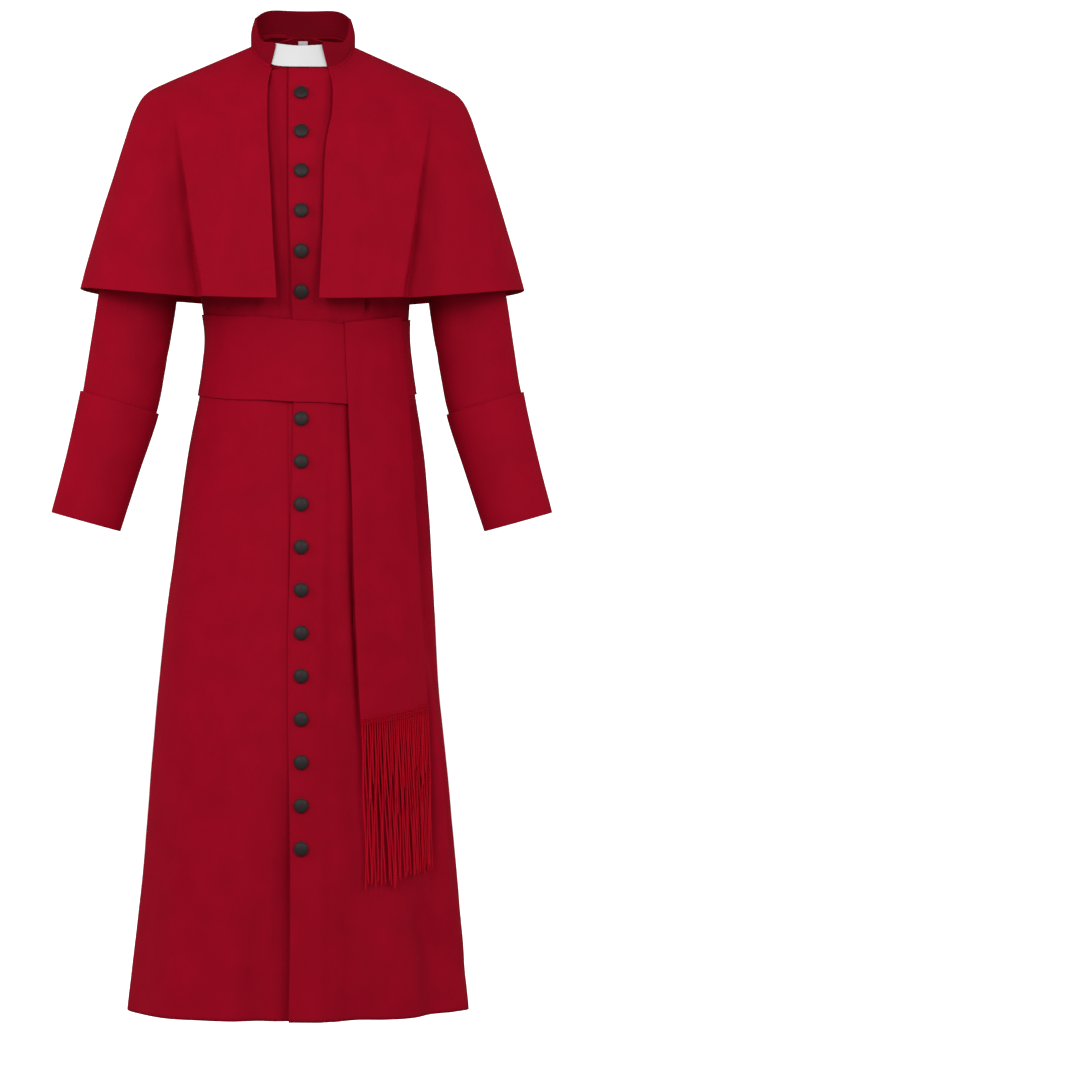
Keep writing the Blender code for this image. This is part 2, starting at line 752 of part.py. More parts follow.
def make_sash(cloth):
    wall("sash", SASH_COLUMNS, SASH_ROWS, sash_point, cloth, closed=True, turned=True)
    wall(
        "sash_tail",
        TAIL_COLUMNS,
        len(TAIL) - 1,
        lambda c, r: tail_point(c / TAIL_COLUMNS, TAIL[r]),
        cloth,
        turned=True,
    )


def fringe_sway(strand, down):
    """A strand's small sideways wave, as a share of the pitch, which differs from one to the next."""
    return FRINGE_SWAY * down * sin(SWAY_STEP * strand + SWAY_DOWN * down)


def make_fringe(name, out, length, raggedness, cord):
    """A heading strip with a row of strands hanging from it, all one piece at their roots.

    The strip is a row of cells, one for each strand and one for each gap. Every strand is drawn
    down from the underside of its own cell.
    """
    bottom = TAIL[-1]
    shape = bmesh.new()
    pitch = 1.0 / (FRINGE_STRANDS - 1 + FRINGE_STRAND_SHARE)
    cuts = [
        (strand + share) * pitch
        for strand in range(FRINGE_STRANDS)
        for share in (0.0, FRINGE_STRAND_SHARE)
    ]

    def place(across, drop, depth):
        row = bottom._replace(left_z=bottom.left_z - drop, right_z=bottom.right_z - drop)
        return tail_point(across, row, out - depth)

    def loop(across, drop):
        return [shape.verts.new(place(across, drop, depth)) for depth in (0.0, FRINGE_DEPTH)]

    tops = [loop(across, -FRINGE_HEADING_UP) for across in cuts]
    feet = [loop(across, FRINGE_HEADING_DOWN) for across in cuts]
    for i in range(len(cuts) - 1):
        shape.faces.new((tops[i][0], feet[i][0], feet[i + 1][0], tops[i + 1][0]))
        shape.faces.new((tops[i][1], tops[i + 1][1], feet[i + 1][1], feet[i][1]))
        shape.faces.new((tops[i][0], tops[i + 1][0], tops[i + 1][1], tops[i][1]))
        if i % 2:
            shape.faces.new((feet[i][0], feet[i][1], feet[i + 1][1], feet[i + 1][0]))
    shape.faces.new((tops[0][0], tops[0][1], feet[0][1], feet[0][0]))
    shape.faces.new((tops[-1][0], feet[-1][0], feet[-1][1], tops[-1][1]))
    for strand in range(FRINGE_STRANDS):
        left, right = cuts[2 * strand], cuts[2 * strand + 1]
        ring = [*feet[2 * strand], *feet[2 * strand + 1][::-1]]
        end = length - raggedness * (0.5 + 0.5 * sin(RAGGED_STEP * strand))
        for share in (0.5, 1.0):
            drop = between(FRINGE_HEADING_DOWN, end, share)
            sway = fringe_sway(strand, share) * pitch
            low = [*loop(left + sway, drop), *loop(right + sway, drop)[::-1]]
            for k in range(4):
                n = (k + 1) % 4
                shape.faces.new((ring[k], low[k], low[n], ring[n]))
            ring = low
        shape.faces.new(ring)
    bmesh.ops.recalc_face_normals(shape, faces=shape.faces)
    return finish(name, shape, cord)


# ---------------------------------------------------------------- buttons
ButtonRing = namedtuple("ButtonRing", "radius height")
BUTTON_PROFILE = [
    ButtonRing(8.6, 0.0),
    ButtonRing(BUTTON_RADIUS, 1.7),
    ButtonRing(9.2, 3.9),
    ButtonRing(5.4, 5.3),
]
BUTTON_CROWN = 5.8


def front_at(z):
    """How far forward the lapping front's outer face stands at the button line."""
    rows = front_rows()[NECK_ROW:]
    below = next(i for i, row in enumerate(rows) if row.start_z <= z)
    upper, lower = rows[below - 1], rows[below]
    share = (z - upper.start_z) / (lower.start_z - upper.start_z)
    return between(upper.start_y, lower.start_y, share) - LAP_LIFT - SEAM_GAP / 2


def fold_at_buttons(z):
    return fold_reach(0, z) if z < BODY[0].z else 0.0


def make_button(name, z, covered):
    """A domed button that faces the way the cloth does at its height."""
    above, below = z + BUTTON_RADIUS, z - BUTTON_RADIUS
    y_above = front_at(above) - fold_at_buttons(above)
    y_below = front_at(below) - fold_at_buttons(below)
    y_here = front_at(z) - fold_at_buttons(z)
    seat = min(y_here, (y_above + y_below) / 2) - LAYER_GAP
    lean = atan2(y_below - y_above, above - below)
    shape = bmesh.new()
    rings = []
    for ring in BUTTON_PROFILE:
        made = bmesh.ops.create_circle(shape, segments=BUTTON_SIDES, radius=ring.radius)
        bmesh.ops.translate(shape, vec=(0, 0, ring.height), verts=made["verts"])
        rings.append(made["verts"])
    for lower, upper in zip(rings, rings[1:]):
        edges = [e for v in lower + upper for e in v.link_edges]
        bmesh.ops.bridge_loops(shape, edges=list(set(edges) & set(flat_edges(lower, upper))))
    shape.faces.new(rings[0])
    crown = shape.verts.new((0, 0, BUTTON_CROWN))
    for i, vert in enumerate(rings[-1]):
        shape.faces.new((vert, rings[-1][(i + 1) % BUTTON_SIDES], crown))
    bmesh.ops.recalc_face_normals(shape, faces=shape.faces)
    stand = Matrix.Rotation(radians(90) + lean, 4, "X")
    bmesh.ops.transform(shape, matrix=stand, verts=shape.verts)
    bmesh.ops.translate(shape, vec=(BUTTON_LINE, seat, z), verts=shape.verts)
    finish(name, shape, covered)


def flat_edges(lower, upper):
    """The edges that lie within one of two rings, not between them."""
    rings = (set(lower), set(upper))
    edges = {e for v in lower + upper for e in v.link_edges}
    return [e for e in edges if any(set(e.verts) <= ring for ring in rings)]


def make_buttons(covered):
    number = 0
    runs = (
        (UPPER_BUTTONS, UPPER_BUTTON_FIRST, UPPER_BUTTON_PITCH),
        (LOWER_BUTTONS, LOWER_BUTTON_FIRST, LOWER_BUTTON_PITCH),
    )
    for count, first, pitch in runs:
        for i in range(count):
            number += 1
            make_button(f"button_{number:02d}", first + i * pitch, covered)


def main():
    clear_scene()
    cloth = material("cassock cloth", RED, 0.75)
    cord = material("fringe cord", FRINGE_RED, 0.6)
    white = material("white collar stock", WHITE, 0.5)
    covered = material("covered button", CHARCOAL, 0.55)
    make_body(cloth)
    make_sleeves(cloth)
    make_cape(cloth)
    make_collar(cloth, white)
    make_sash(cloth)
    make_fringe("fringe_front", LIFT, FRONT_FRINGE_LENGTH, FRONT_FRINGE_RAGGEDNESS, cord)
    make_fringe("fringe_back", -LIFT, BACK_FRINGE_LENGTH, BACK_FRINGE_RAGGEDNESS, cord)
    make_buttons(covered)


main()
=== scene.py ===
"""Dresses the cassock: its cloth, fringe and buttons at full detail on the frame, and the stage.

Lengths in the tables are in millimetres and angles in degrees. The front faces -Y, +Z is up and
+X is the wearer's left.
"""

from collections import namedtuple
from math import asin, atan2, cos, degrees, pi, radians, sin

import bmesh
import bpy
from bpy.props import FloatProperty, FloatVectorProperty, IntProperty, PointerProperty
from mathutils import Matrix, Vector, noise


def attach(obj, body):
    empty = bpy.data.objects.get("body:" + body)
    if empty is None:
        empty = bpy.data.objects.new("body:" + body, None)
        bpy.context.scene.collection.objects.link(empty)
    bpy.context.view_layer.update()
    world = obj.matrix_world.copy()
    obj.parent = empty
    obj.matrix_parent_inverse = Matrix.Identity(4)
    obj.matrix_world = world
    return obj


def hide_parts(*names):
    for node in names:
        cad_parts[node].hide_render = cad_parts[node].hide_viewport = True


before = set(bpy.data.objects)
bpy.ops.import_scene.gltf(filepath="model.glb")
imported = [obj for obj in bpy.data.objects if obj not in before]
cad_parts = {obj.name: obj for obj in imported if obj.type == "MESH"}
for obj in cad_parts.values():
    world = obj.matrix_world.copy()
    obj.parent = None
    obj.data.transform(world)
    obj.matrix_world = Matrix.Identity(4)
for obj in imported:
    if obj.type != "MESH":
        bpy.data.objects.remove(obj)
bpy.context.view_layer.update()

bl_info = {
    "name": "Cassock",
    "version": (1, 0, 0),
    "blender": (4, 5, 0),
    "location": "3D View > Sidebar > Cassock",
    "description": "Makes the dressed pieces of a cassock with a shoulder cape and a fringed sash",
    "category": "Object",
}

MM = 0.001


def table(kind, rows):
    """A table's rows, each with its columns named."""
    return [kind(*row) for row in rows]


# ---------------------------------------------------------------- form shared with the frame
SEAM_GAP = 0.5
SHOULDER_SETBACK = 0.9
ARMHOLE_GAP = 0.7
LAYER_GAP = 0.5
SASH_LIFT = 3.2
PLACKET_EDGE_TOP = 21.0
PLACKET_EDGE_HEM = 14.0
PLACKET_SLANTS_FROM = 0.4
UNDERLAP_TOP = 11.0
UNDERLAP = 22.0
LAP_LIFT = 3.5
LAP_FLAT_TO = 27.0
LAP_FADES_BY = 45.0
NECK_ROW = 4
SIDE_Y = 3.0

# A row of the bodice runs round from its start, on the neckline or the centre line, to the armhole.
# bend is the power of the row's fall: 1 is a straight shoulder, 2 a level row that curves.
Row = namedtuple("Row", "start_x start_y start_z side_x side_y side_z bend shift")
BODICE_FRONT = table(Row, [
    (74, 0, -4, 196, 4, -63, 1.00, 0),
    (66, -31, -25, 194, -20, -76, 1.15, 0),
    (50, -48.5, -33.5, 190, -38, -97, 1.40, 0),
    (34, -58.6, -33.8, 186, -50, -121, 1.70, 0),
    (0, -62, -36.0, 181, -56, -147, 2.00, 0),
    (0, -86, -88, 177, -57, -174, 2.00, 0),
    (0, -103, -132, 173, -53, -203, 2.00, 0),
    (0, -114, -178, 171, -42, -231, 2.00, 0),
    (0, -122, -223, 171, -23, -256, 2.00, 0),
])
BODICE_BACK = table(Row, [
    (74, 0, -4, 196, 4, -63, 1.00, 0),
    (66, 27, 2, 194, 26, -78, 1.15, 0),
    (50, 45, 9.5, 190, 44, -101, 1.40, 0),
    (24, 57, 17, 186, 56, -128, 1.70, 0),
    (0, 60, 19, 182, 62, -155, 2.00, 0),
    (0, 82, -35, 178, 62, -183, 2.00, 0),
    (0, 99, -93, 175, 56, -211, 2.00, 0),
    (0, 108, -151, 173, 42, -238, 2.00, 0),
    (0, 111, -208, 172, 23, -260, 2.00, 0),
])

# Level rings of the body from the underarm to the hem, in half widths and depths from the side seam.
Ring = namedtuple("Ring", "z half_width front back shift")
BODY = table(Ring, [
    (-270, 172, 127, 112, 1.0),
    (-325, 162, 126, 104, 3.0),
    (-380, 154.5, 118, 96, 4.3),
    (-430, 149.5, 111, 93, 6.5),
    (-485, 154.5, 111, 98, 7.0),
    (-535, 163, 114, 106, 6.5),
    (-600, 174, 120, 118, 4.5),
    (-672, 182, 125, 128, 2.0),
    (-760, 190.5, 131, 138, -1.0),
    (-860, 200, 138, 150, -4.5),
    (-969, 209.5, 145, 163, -6.0),
    (-1080, 219.5, 152, 177, -5.0),
    (-1192, 229.5, 158, 192, -4.0),
    (-1300, 240.5, 163, 205, -4.5),
    (-1423.5, 253, 168, 218, -6.5),
])

# Soft folds of the skirt. Each runs down from its start to the hem and is deepest there.
# depth is outwards, so a trough is negative; width is the half width in degrees.
Fold = namedtuple("Fold", "name start_z start_angle hem_angle width depth")
SKIRT_FOLDS = table(Fold, [
    ("trough beside the placket", -1080, -13, -13, 11, -15),
    ("ridge beside the placket", -1080, 5, 8, 10, 5),
    ("ridge of the right front", -900, -44, -46, 14, 5),
    ("trough of the right side", -860, -72, -68, 14, -3),
    ("trough beside the sash tail", -620, 16, 20, 9, -9),
    ("ridge under the fringe", -860, 38, 36, 13, 8),
    ("trough of the left front", -900, 58, 53, 12, -10),
    ("ridge of the left side", -640, 74, 74, 10, 6),
    ("trough behind the left side", -700, 100, 96, 10, -12),
    ("ridge of the left back", -680, 122, 120, 13, 15),
    ("trough of the left back", -760, 144, 144, 10, -13),
    ("ridge of the middle back", -640, 172, 168, 15, 14),
    ("trough of the right back", -780, -158, -156, 11, -15),
    ("ridge of the right back", -690, -132, -130, 13, 13),
    ("trough behind the right side", -740, -106, -104, 11, -12),
])

# Rings of the shoulder cape: half width and height at the side, depth and height in front and behind.
CapeRing = namedtuple("CapeRing", "half_width side_z front front_z back back_z square bend")
CAPE = table(CapeRing, [
    (77, 0, 70, -41, 65, 23, 2.0, 5.0),
    (115, -17, 87, -69, 88, 4, 2.05, 3.0),
    (160, -37, 103, -110, 106, -32, 2.1, 2.5),
    (203, -56, 117, -150, 118, -76, 2.2, 2.1),
    (232, -73, 127, -186, 126, -122, 2.3, 2.0),
    (249, -102, 134, -222, 132, -170, 2.4, 2.0),
    (266, -152, 139, -260, 137, -220, 2.5, 2.0),
    (290, -226, 143, -303, 143, -274, 2.55, 2.0),
    (312, -300, 146, -345, 149, -327, 2.6, 2.0),
    (328, -360.5, 149, -382, 154, -374, 2.6, 2.0),
])
CapeEdge = namedtuple("CapeEdge", "right left")
CAPE_EDGES = table(CapeEdge, [
    (46, 37),
    (51, 43),
    (52, 42),
    (51, 34),
    (49, 31),
    (47, 30),
    (45, 29),
    (43, 27),
    (40, 25),
    (38, 23),
])
CapeFold = namedtuple("CapeFold", "start_ring start_angle hem_angle chest_width arm_width depth")
CAPE_FOLDS = table(CapeFold, [
    (3, -62, -22.6, 2.6, 18, -27),
    (3, 62, 22.6, 2.6, 18, -24),
    (4, -146, -152, 12, 14, -16),
    (4, 142, 148, 14, 12, -16),
])
CAPE_FOLD_FULL_AT = 0.7
# A fold swings most towards the chest near its start, and hangs straight by the hem.
CAPE_FOLD_SWING = 1.5
# On the arm's side the cloth slopes evenly over this share of the width, then eases out.
CAPE_FOLD_EVEN = 0.45
CAPE_SWELL = 1.1
CAPE_FRONT_WIDTH = 430.0
CAPE_BACK_HALF_WIDTH = 440.0
CAPE_HEM_RINGS_APART = 55.0
# The share of a quarter ring's columns that lies in front of its corner, and not beside it.
FRONT_SHARE = 0.68

# Sections of the sleeve after the armhole: centre, lean of the axis, half width and half depth.
Section = namedtuple("Section", "x y z lean half_width half_depth")
SLEEVE = table(Section, [
    (199, 2, -177, 13, 100, 61),
    (211, 1, -200, 23.6, 86, 62),
    (220, 0, -231, 36.7, 73, 60),
    (227.5, -1, -268, 52.7, 63, 56),
    (236.5, -3, -322, 70, 58.5, 51),
    (245.5, -6, -388, 77.5, 58.5, 47),
    (257.5, -10, -461, 77.5, 57.5, 45),
    (269.5, -15, -528, 73.5, 56.5, 43),
    (292.5, -21, -614, 74, 53.5, 41),
    (316.5, -27, -698, 74.4, 50.5, 38),
])
MIDDLE_SECTION = 4
ARMHOLE_SPAN = 24.0
# A sleeve's creases fade out this far above its cuff, in rows.
SLEEVE_CALM_ROWS = 0.25
# A cuff's depth, how far it flares at its free edge, and how far its foot passes the sleeve's end.
CUFF_TOP_SECTION = 7
CUFF_DEPTH = 170.0
CUFF_TOP_FLARE = 1.6
CUFF_END = 5.2
CUFF_END_FROM = 0.8
CUFF_FOLD = 3.0
CUFF_FOLD_ROWS = 6
CUFF_ROW_SHARE = 0.025
CUFF_CLOTH_SHARE = 0.8
CUFF_SWELL = 0.7
CUFF_DEEPEST_SWELL = -0.6
CUFF_CALM_SHARE = 0.2

# Rings of the collar, from its seam to its top fold.
COLLAR = table(CapeRing, [
    (77.2, 1.0, 70.2, -40.0, 65.2, 24.0, 2.0, 5.0),
    (75.8, 22, 67.5, -21, 63.8, 43, 2.0, 7.0),
    (71.0, 43, 63, 1.0, 60, 62.5, 2.0, 15.0),
])
COLLAR_HEIGHT = 44.0
# Where the collar's front ends stand from the middle, at its seam and at its top.
CollarEnd = namedtuple("CollarEnd", "seam top")
COLLAR_LEFT_END = CollarEnd(37.0, 27.5)
COLLAR_RIGHT_END = CollarEnd(48.5, 40.0)
COLLAR_BACK_BEND = 6.0
# Behind the neck the collar's inside, painted darker as shade, rolls out over its seam, in shares of its
# height.
COLLAR_SEAM_ROLL = 1.3
COLLAR_SEAM_ROLL_AT = 0.04
COLLAR_SEAM_ROLL_WIDTH = 0.10
# The strip of the collar's own cloth, free of painted shade, that shows below its darker inside.
COLLAR_SEAM_STRIP = 4.4
# Inside the neck the back is painted darker as shade, within this half width and down to this height.
PAINTED_NECK_SHADE_HALF_WIDTH = 78.0
PAINTED_NECK_SHADE_DOWN_TO = -40.0
COLLAR_CORNER = 6.0
COLLAR_PLUMPNESS = 0.9
COLLAR_SWELL = 0.4
COLLAR_ROUNDING = 1.3
COLLAR_GIRTH = 400.0
# The collar's cloth goes this share of its height below its seam line, into the seam.
COLLAR_SEAM_ALLOWANCE = 0.06
# The tab is tucked behind both ends, bulges a little between them, and dips at its top and foot.
TAB_TUCK = 9.0
TAB_SET_BACK = 3.2
TAB_BULGE = 1.4
TabEdge = namedtuple("TabEdge", "right left dip")
TAB_FOOT = TabEdge(-3.9, -3.1, 1.3)
TAB_TOP = TabEdge(1.5, 4.6, 4.1)
TAB_CLOTH = 1.0
TAB_ROUNDING = 0.3
TAB_COLUMNS = 40
TAB_ROWS = 16
LABEL_HALF_WIDTH = 7.0
LABEL_BELOW_EDGE = 1.5
LABEL_HEIGHT = 18.0
LABEL_BULGE = 0.5
LABEL_CLOTH = 0.6
LABEL_COLUMNS = 6
LABEL_ROWS = 8

# The sash round the waist: the heights of its two edges, round from the front middle.
SashEdge = namedtuple("SashEdge", "angle top bottom")
SASH = table(SashEdge, [
    (-180, -402, -519),
    (-90, -398, -517),
    (-30, -406, -527),
    (0, -413, -531),
    (30, -419, -534),
    (90, -404, -514),
    (180, -402, -519),
])

# The hanging end of the sash: where its two edges are, and how far each stands off the skirt.
TailRow = namedtuple("TailRow", "left_z right_z left_x right_x left_off right_off")
TAIL = table(TailRow, [
    (-421, -409, 61, 145, 6.0, 8.5),
    (-470, -460, 63, 149, 6.0, 9.5),
    (-530, -520, 66, 155, 6.0, 9.5),
    (-600, -590, 69, 160.5, 6.0, 9.0),
    (-680, -670, 72, 165, 7.0, 8.5),
    (-760, -750, 74, 170, 8.5, 8.0),
    (-840, -828, 77, 174.5, 10.0, 7.5),
    (-920, -906, 81, 180, 11.0, 7.2),
    (-995, -979, 85, 184, 12.0, 7.2),
])

# ---------------------------------------------------------------- creases laid on that form
# Where a crease's middle is, how its top leans towards +X, its length, half width and depth, and how
# far its ends bow sideways. depth is outwards, so a trough is negative.
Crease = namedtuple("Crease", "across down lean length width depth bow")
FRONT_CREASES = table(Crease, [
    (-30, -62, 38, 34, 5, -1.1, 2),
    (-38, -74, 30, 30, 4, -0.7, 1),
    (18, -58, 84, 30, 4, -0.8, 1),
    (27, -140, 12, 70, 7, -1.0, 3),
    (-33, -215, -4, 120, 8, -1.1, -3),
    (24, -270, -5, 110, 8, 0.9, 2),
    (-27, -330, 3, 90, 7, -1.2, 2),
    (34, -352, -9, 80, 8, -1.4, 3),
    (-73, -388, 4, 46, 9, -2.6, 2),
    (-58, -384, 8, 50, 9, 1.4, 1),
    (-25, -386, -3, 42, 7, -1.8, 1),
    (58, -386, 5, 46, 9, -1.8, 2),
    (94, -386, 1, 46, 4.5, -7.5, 1),
    (122, -386, 2, 44, 24, -4.0, 1),
    (112, -384, -6, 44, 8, 1.2, 1),
    (-112, -386, -8, 48, 10, -2.0, 2),
    (-150, -585, 8, 150, 18, -1.8, 5),
    (-128, -640, 11, 260, 26, 1.6, 7),
    (-96, -600, 5, 190, 20, -1.4, -4),
    (-60, -700, 3, 300, 24, 1.3, 6),
    (-172, -830, 8, 300, 24, 2.0, -8),
    (-140, -960, 6, 330, 26, -1.9, 6),
    (-95, -1010, 2, 360, 28, 1.8, 8),
    (-205, -1180, 7, 360, 26, -2.2, -6),
    (-120, -1270, -3, 240, 26, -2.0, 7),
    (-44, -1260, -2, 320, 18, -1.0, 4),
    (-60, -1330, 6, 200, 16, 1.6, 5),
    (34, -650, -2, 230, 18, -1.5, 4),
    (46, -860, -3, 260, 17, -2.4, -4),
    (26, -1010, 2, 250, 15, -1.6, 3),
    (58, -1180, -6, 300, 22, 1.9, 6),
    (40, -1330, 2, 180, 20, -1.3, -4),
    (112, -1330, 14, 190, 26, 1.8, 6),
    (180, -1300, -30, 270, 34, -10.0, 6),
    (172, -700, -3.6, 640, 8, -12.0, 2),
    (189, -760, -4.0, 460, 6, 2.4, 2),
    (69, -590, -2.3, 320, 8, -3.4, 0),
    (76, -850, -2.6, 460, 8, -7.0, 0),
    (184, -1080, -4.9, 460, 9, -13.0, 2),
    (197, -1080, -4.9, 460, 6, 9.0, 2),
    (207, -1100, -4.9, 360, 6, -6.0, 2),
    (152, -700, -3, 240, 20, -1.2, 4),
    (225, -1280, -6, 260, 16, -2.2, 4),
])
# The back of the skirt hangs in deeper folds than its waist, from this height down.
BACK_SKIRT_DEEPER = 1.6
BACK_DEEPENS_FROM = -560.0
BACK_DEEPENS_OVER = 260.0
BACK_CREASES = table(Crease, [
    (-62, -386, 6, 50, 10, -2.4, 3),
    (-20, -384, -4, 54, 9, -2.0, 2),
    (30, -388, 3, 46, 9, 1.6, 2),
    (74, -386, -6, 50, 10, -2.5, 2),
    (118, -384, -9, 48, 10, -1.8, 2),
    (-110, -386, 9, 46, 9, 1.5, 1),
    (0, -330, 86, 150, 10, -1.2, 10),
    (-70, -345, 70, 90, 10, -1.2, 6),
    (82, -340, -72, 96, 10, -1.3, -6),
    (-120, -590, 8, 180, 20, -1.8, 5),
    (-70, -620, 4, 230, 22, 1.6, -6),
    (-16, -600, 0, 190, 18, -1.5, 4),
    (48, -640, -4, 250, 22, 1.8, 6),
    (110, -600, -7, 200, 20, -1.9, -5),
    (150, -690, -8, 260, 22, 1.6, 6),
    (-160, -760, 8, 300, 24, 1.9, -7),
    (-96, -900, 5, 320, 22, -2.2, 6),
    (-30, -880, 1, 300, 24, 1.9, 7),
    (28, -960, -2, 340, 22, -2.1, -6),
    (96, -900, -5, 330, 26, 2.1, 7),
    (168, -1000, -8, 330, 24, -2.2, -6),
    (-190, -1110, 8, 360, 24, -2.4, 6),
    (-120, -1200, 4, 340, 24, 2.2, 7),
    (-58, -1260, 2, 300, 20, -2.4, -5),
    (12, -1210, 0, 320, 24, 2.1, 6),
    (74, -1270, -3, 290, 20, -2.3, 5),
    (136, -1240, -5, 320, 24, 2.2, -7),
    (206, -1270, -8, 280, 20, -2.4, 5),
])
# On a cape, across is the distance sideways from the middle, and down the height.
CAPE_FRONT_CREASES = table(Crease, [
    (150, -150, -22, 150, 16, -2.2, 9),
    (118, -140, -12, 130, 14, 1.6, 7),
    (92, -190, -4, 180, 15, -1.5, 5),
    (205, -170, -30, 150, 18, -2.0, -9),
    (236, -240, -14, 180, 20, 2.4, 8),
    (262, -300, -9, 130, 16, -1.9, 5),
    (176, -260, -10, 200, 15, 1.8, 6),
    (136, -310, -5, 130, 14, -1.5, -4),
    (70, -320, -2, 140, 16, 1.2, 5),
    (300, -250, -12, 190, 18, -2.0, 6),
    (188, -90, -64, 110, 15, -1.5, 6),
    (110, -80, -60, 80, 12, -1.0, 5),
])
# The back of the cape hangs in deeper folds towards its hem, from this height down.
CAPE_BACK_DEEPER = 0.8
CAPE_DEEPENS_FROM = -170.0
CAPE_DEEPENS_OVER = 150.0
CAPE_BACK_CREASES = table(Crease, [
    (0, -130, 4, 220, 22, -1.6, 9),
    (-60, -170, 10, 230, 20, 1.9, -7),
    (66, -160, -8, 220, 20, 1.7, 8),
    (-128, -180, 16, 200, 20, -2.0, 8),
    (132, -190, -14, 210, 20, -1.9, -7),
    (-30, -310, 2, 130, 16, -1.7, 4),
    (34, -300, -4, 150, 16, 1.8, 5),
    (-92, -310, 5, 130, 15, 1.8, 4),
    (100, -320, -6, 120, 15, -1.6, 4),
    (-210, -240, 15, 210, 20, 2.2, -8),
    (216, -230, -15, 220, 20, 2.2, 8),
    (-262, -290, 10, 150, 17, -2.0, 5),
    (268, -300, -10, 140, 17, -1.9, 5),
])
# On a sleeve, across is measured round from its outer line by the front, and down is its height.
SLEEVE_CREASES = table(Crease, [
    (150, -462, 52, 76, 13, -1.1, 6),
    (146, -440, 38, 70, 12, 0.7, 4),
    (128, -430, 60, 60, 12, -0.8, 4),
    (60, -420, 8, 130, 20, 1.3, 6),
    (96, -400, -6, 120, 14, -1.4, 4),
    (36, -500, 16, 120, 16, -1.3, 5),
    (196, -462, -44, 80, 14, -1.2, 6),
    (222, -430, -30, 90, 14, 1.0, 5),
    (250, -500, -20, 110, 14, -1.8, 5),
    (290, -430, -8, 140, 18, -1.4, 6),
    (104, -640, 12, 80, 16, -0.9, 4),
    (50, -660, -10, 90, 18, 0.9, 4),
    (230, -650, 8, 90, 18, -1.0, 4),
])
SASH_CREASES = table(Crease, [
    (-118, -462, -58, 120, 11, -1.3, 6),
    (-92, -440, -66, 90, 9, 0.9, 4),
    (-60, -498, -74, 110, 9, -1.0, 5),
    (-18, -448, 78, 100, 9, -0.9, 5),
    (26, -488, 66, 90, 9, -1.2, 4),
    (44, -450, 12, 80, 8, -1.3, 3),
    (132, -470, 24, 90, 8, -1.4, 4),
    (-140, -430, -20, 70, 9, -1.2, 3),
])
SASH_BACK_CREASES = table(Crease, [
    (-100, -450, 64, 120, 11, -1.3, 6),
    (-40, -490, 76, 120, 10, -1.1, 5),
    (20, -440, -74, 110, 10, -1.2, 5),
    (76, -480, -62, 120, 11, -1.3, 6),
    (126, -450, -40, 80, 9, 1.0, 3),
])
TAIL_CREASES = table(Crease, [
    (20, -90, 4, 150, 12, -0.9, 4),
    (66, -60, -7, 110, 12, 0.8, 3),
    (44, -230, 2, 230, 15, 0.9, 5),
    (78, -300, -3, 200, 12, -0.9, 4),
    (18, -390, 3, 200, 12, -1.0, 4),
    (58, -470, -2, 170, 14, 0.9, 3),
    (80, -520, 1, 90, 10, -0.8, 2),
])

# Gentle unevenness that all hanging cloth has: how far apart its swells lie, and its share.
Swell = namedtuple("Swell", "length share")
SWELLS = table(Swell, [(150, 1.0), (62, 0.45), (27, 0.16)])

# How far a crease table is shifted for the other side, so that left and right aren't mirrored.
SLEEVES_APART = 11.0
CAPE_FRONTS_APART = 9.0

# The shallow line that stitching leaves along an edge, and how far in it lies on each piece.
STITCH_LINE_WIDTH = 1.6
STITCH_LINE_DEPTH = 0.35
PLACKET_STITCH = 5.0
PLACKET_SHADOW_LINE = -28.0
CAPE_STITCH = 6.0
CAPE_HEM_STITCH = 11.0
CUFF_STITCH = 10.2
SASH_STITCH = 3.0

# The right front dips a little beside the edge that laps over it.
PLACKET_GROOVE = 1.3
PLACKET_GROOVE_OFF = 0.6
PLACKET_GROOVE_WIDTH = 2.6
# Both fronts tuck in under the collar and its tab, in a band below the neckline.
NECK_TUCK = 2.6
NECK_TUCK_FIRST_ROW = NECK_ROW - 2
NECK_TUCK_ROWS_IN = 0.5
NECK_TUCK_ROWS_OUT = 0.3
NECK_TUCK_TO = 45.0
NECK_TUCK_FADES = 20.0
# Under the cape and the collar they draw in further.
CAPE_TUCK = 12.0
CAPE_TUCK_FIRST_ROW = 1
CAPE_TUCK_ROWS_IN = 1.5
CAPE_TUCK_ROWS_OUT = 0.6
CAPE_TUCK_FROM = 45.0
CAPE_TUCK_TO = 80.0
CAPE_TUCK_GROWS = 9.0
CAPE_TUCK_FADES = 18.0
# Near the hem the right front falls back further, in a soft trough along that edge.
PLACKET_TROUGH = 13.0
PLACKET_TROUGH_FROM = -1010.0
PLACKET_TROUGH_GROWS = 240.0
PLACKET_TROUGH_WIDTH = 36.0

# How far apart a sheet's points lie, and the edges that it is shaded smooth below, in degrees.
ROW_STEP = 6.0
PLACKET_STEP = 1.7
PANEL_STEP = 3.4
CAPE_STEP = 4.8
CAPE_COLUMN_STEP = 2.9
SLEEVE_STEP = 6.0
COLLAR_STEP = 3.0
COLLAR_ROW_STEP = 1.6
SASH_STEP = 5.0
SASH_ROW_STEP = 3.5
TAIL_STEP = 3.0
TAIL_ROW_STEP = 5.0
SMOOTH_BELOW = 50
# A turned edge is rounded by this much, where a sheet's wall meets its face at more than this angle.
TURNED_EDGE = 0.4
BEVEL_ABOVE = 60
# Points this close are one, round a closed sheet or a cord, and where the back's two halves meet.
WELD = 0.001
WELD_HALVES = 0.01


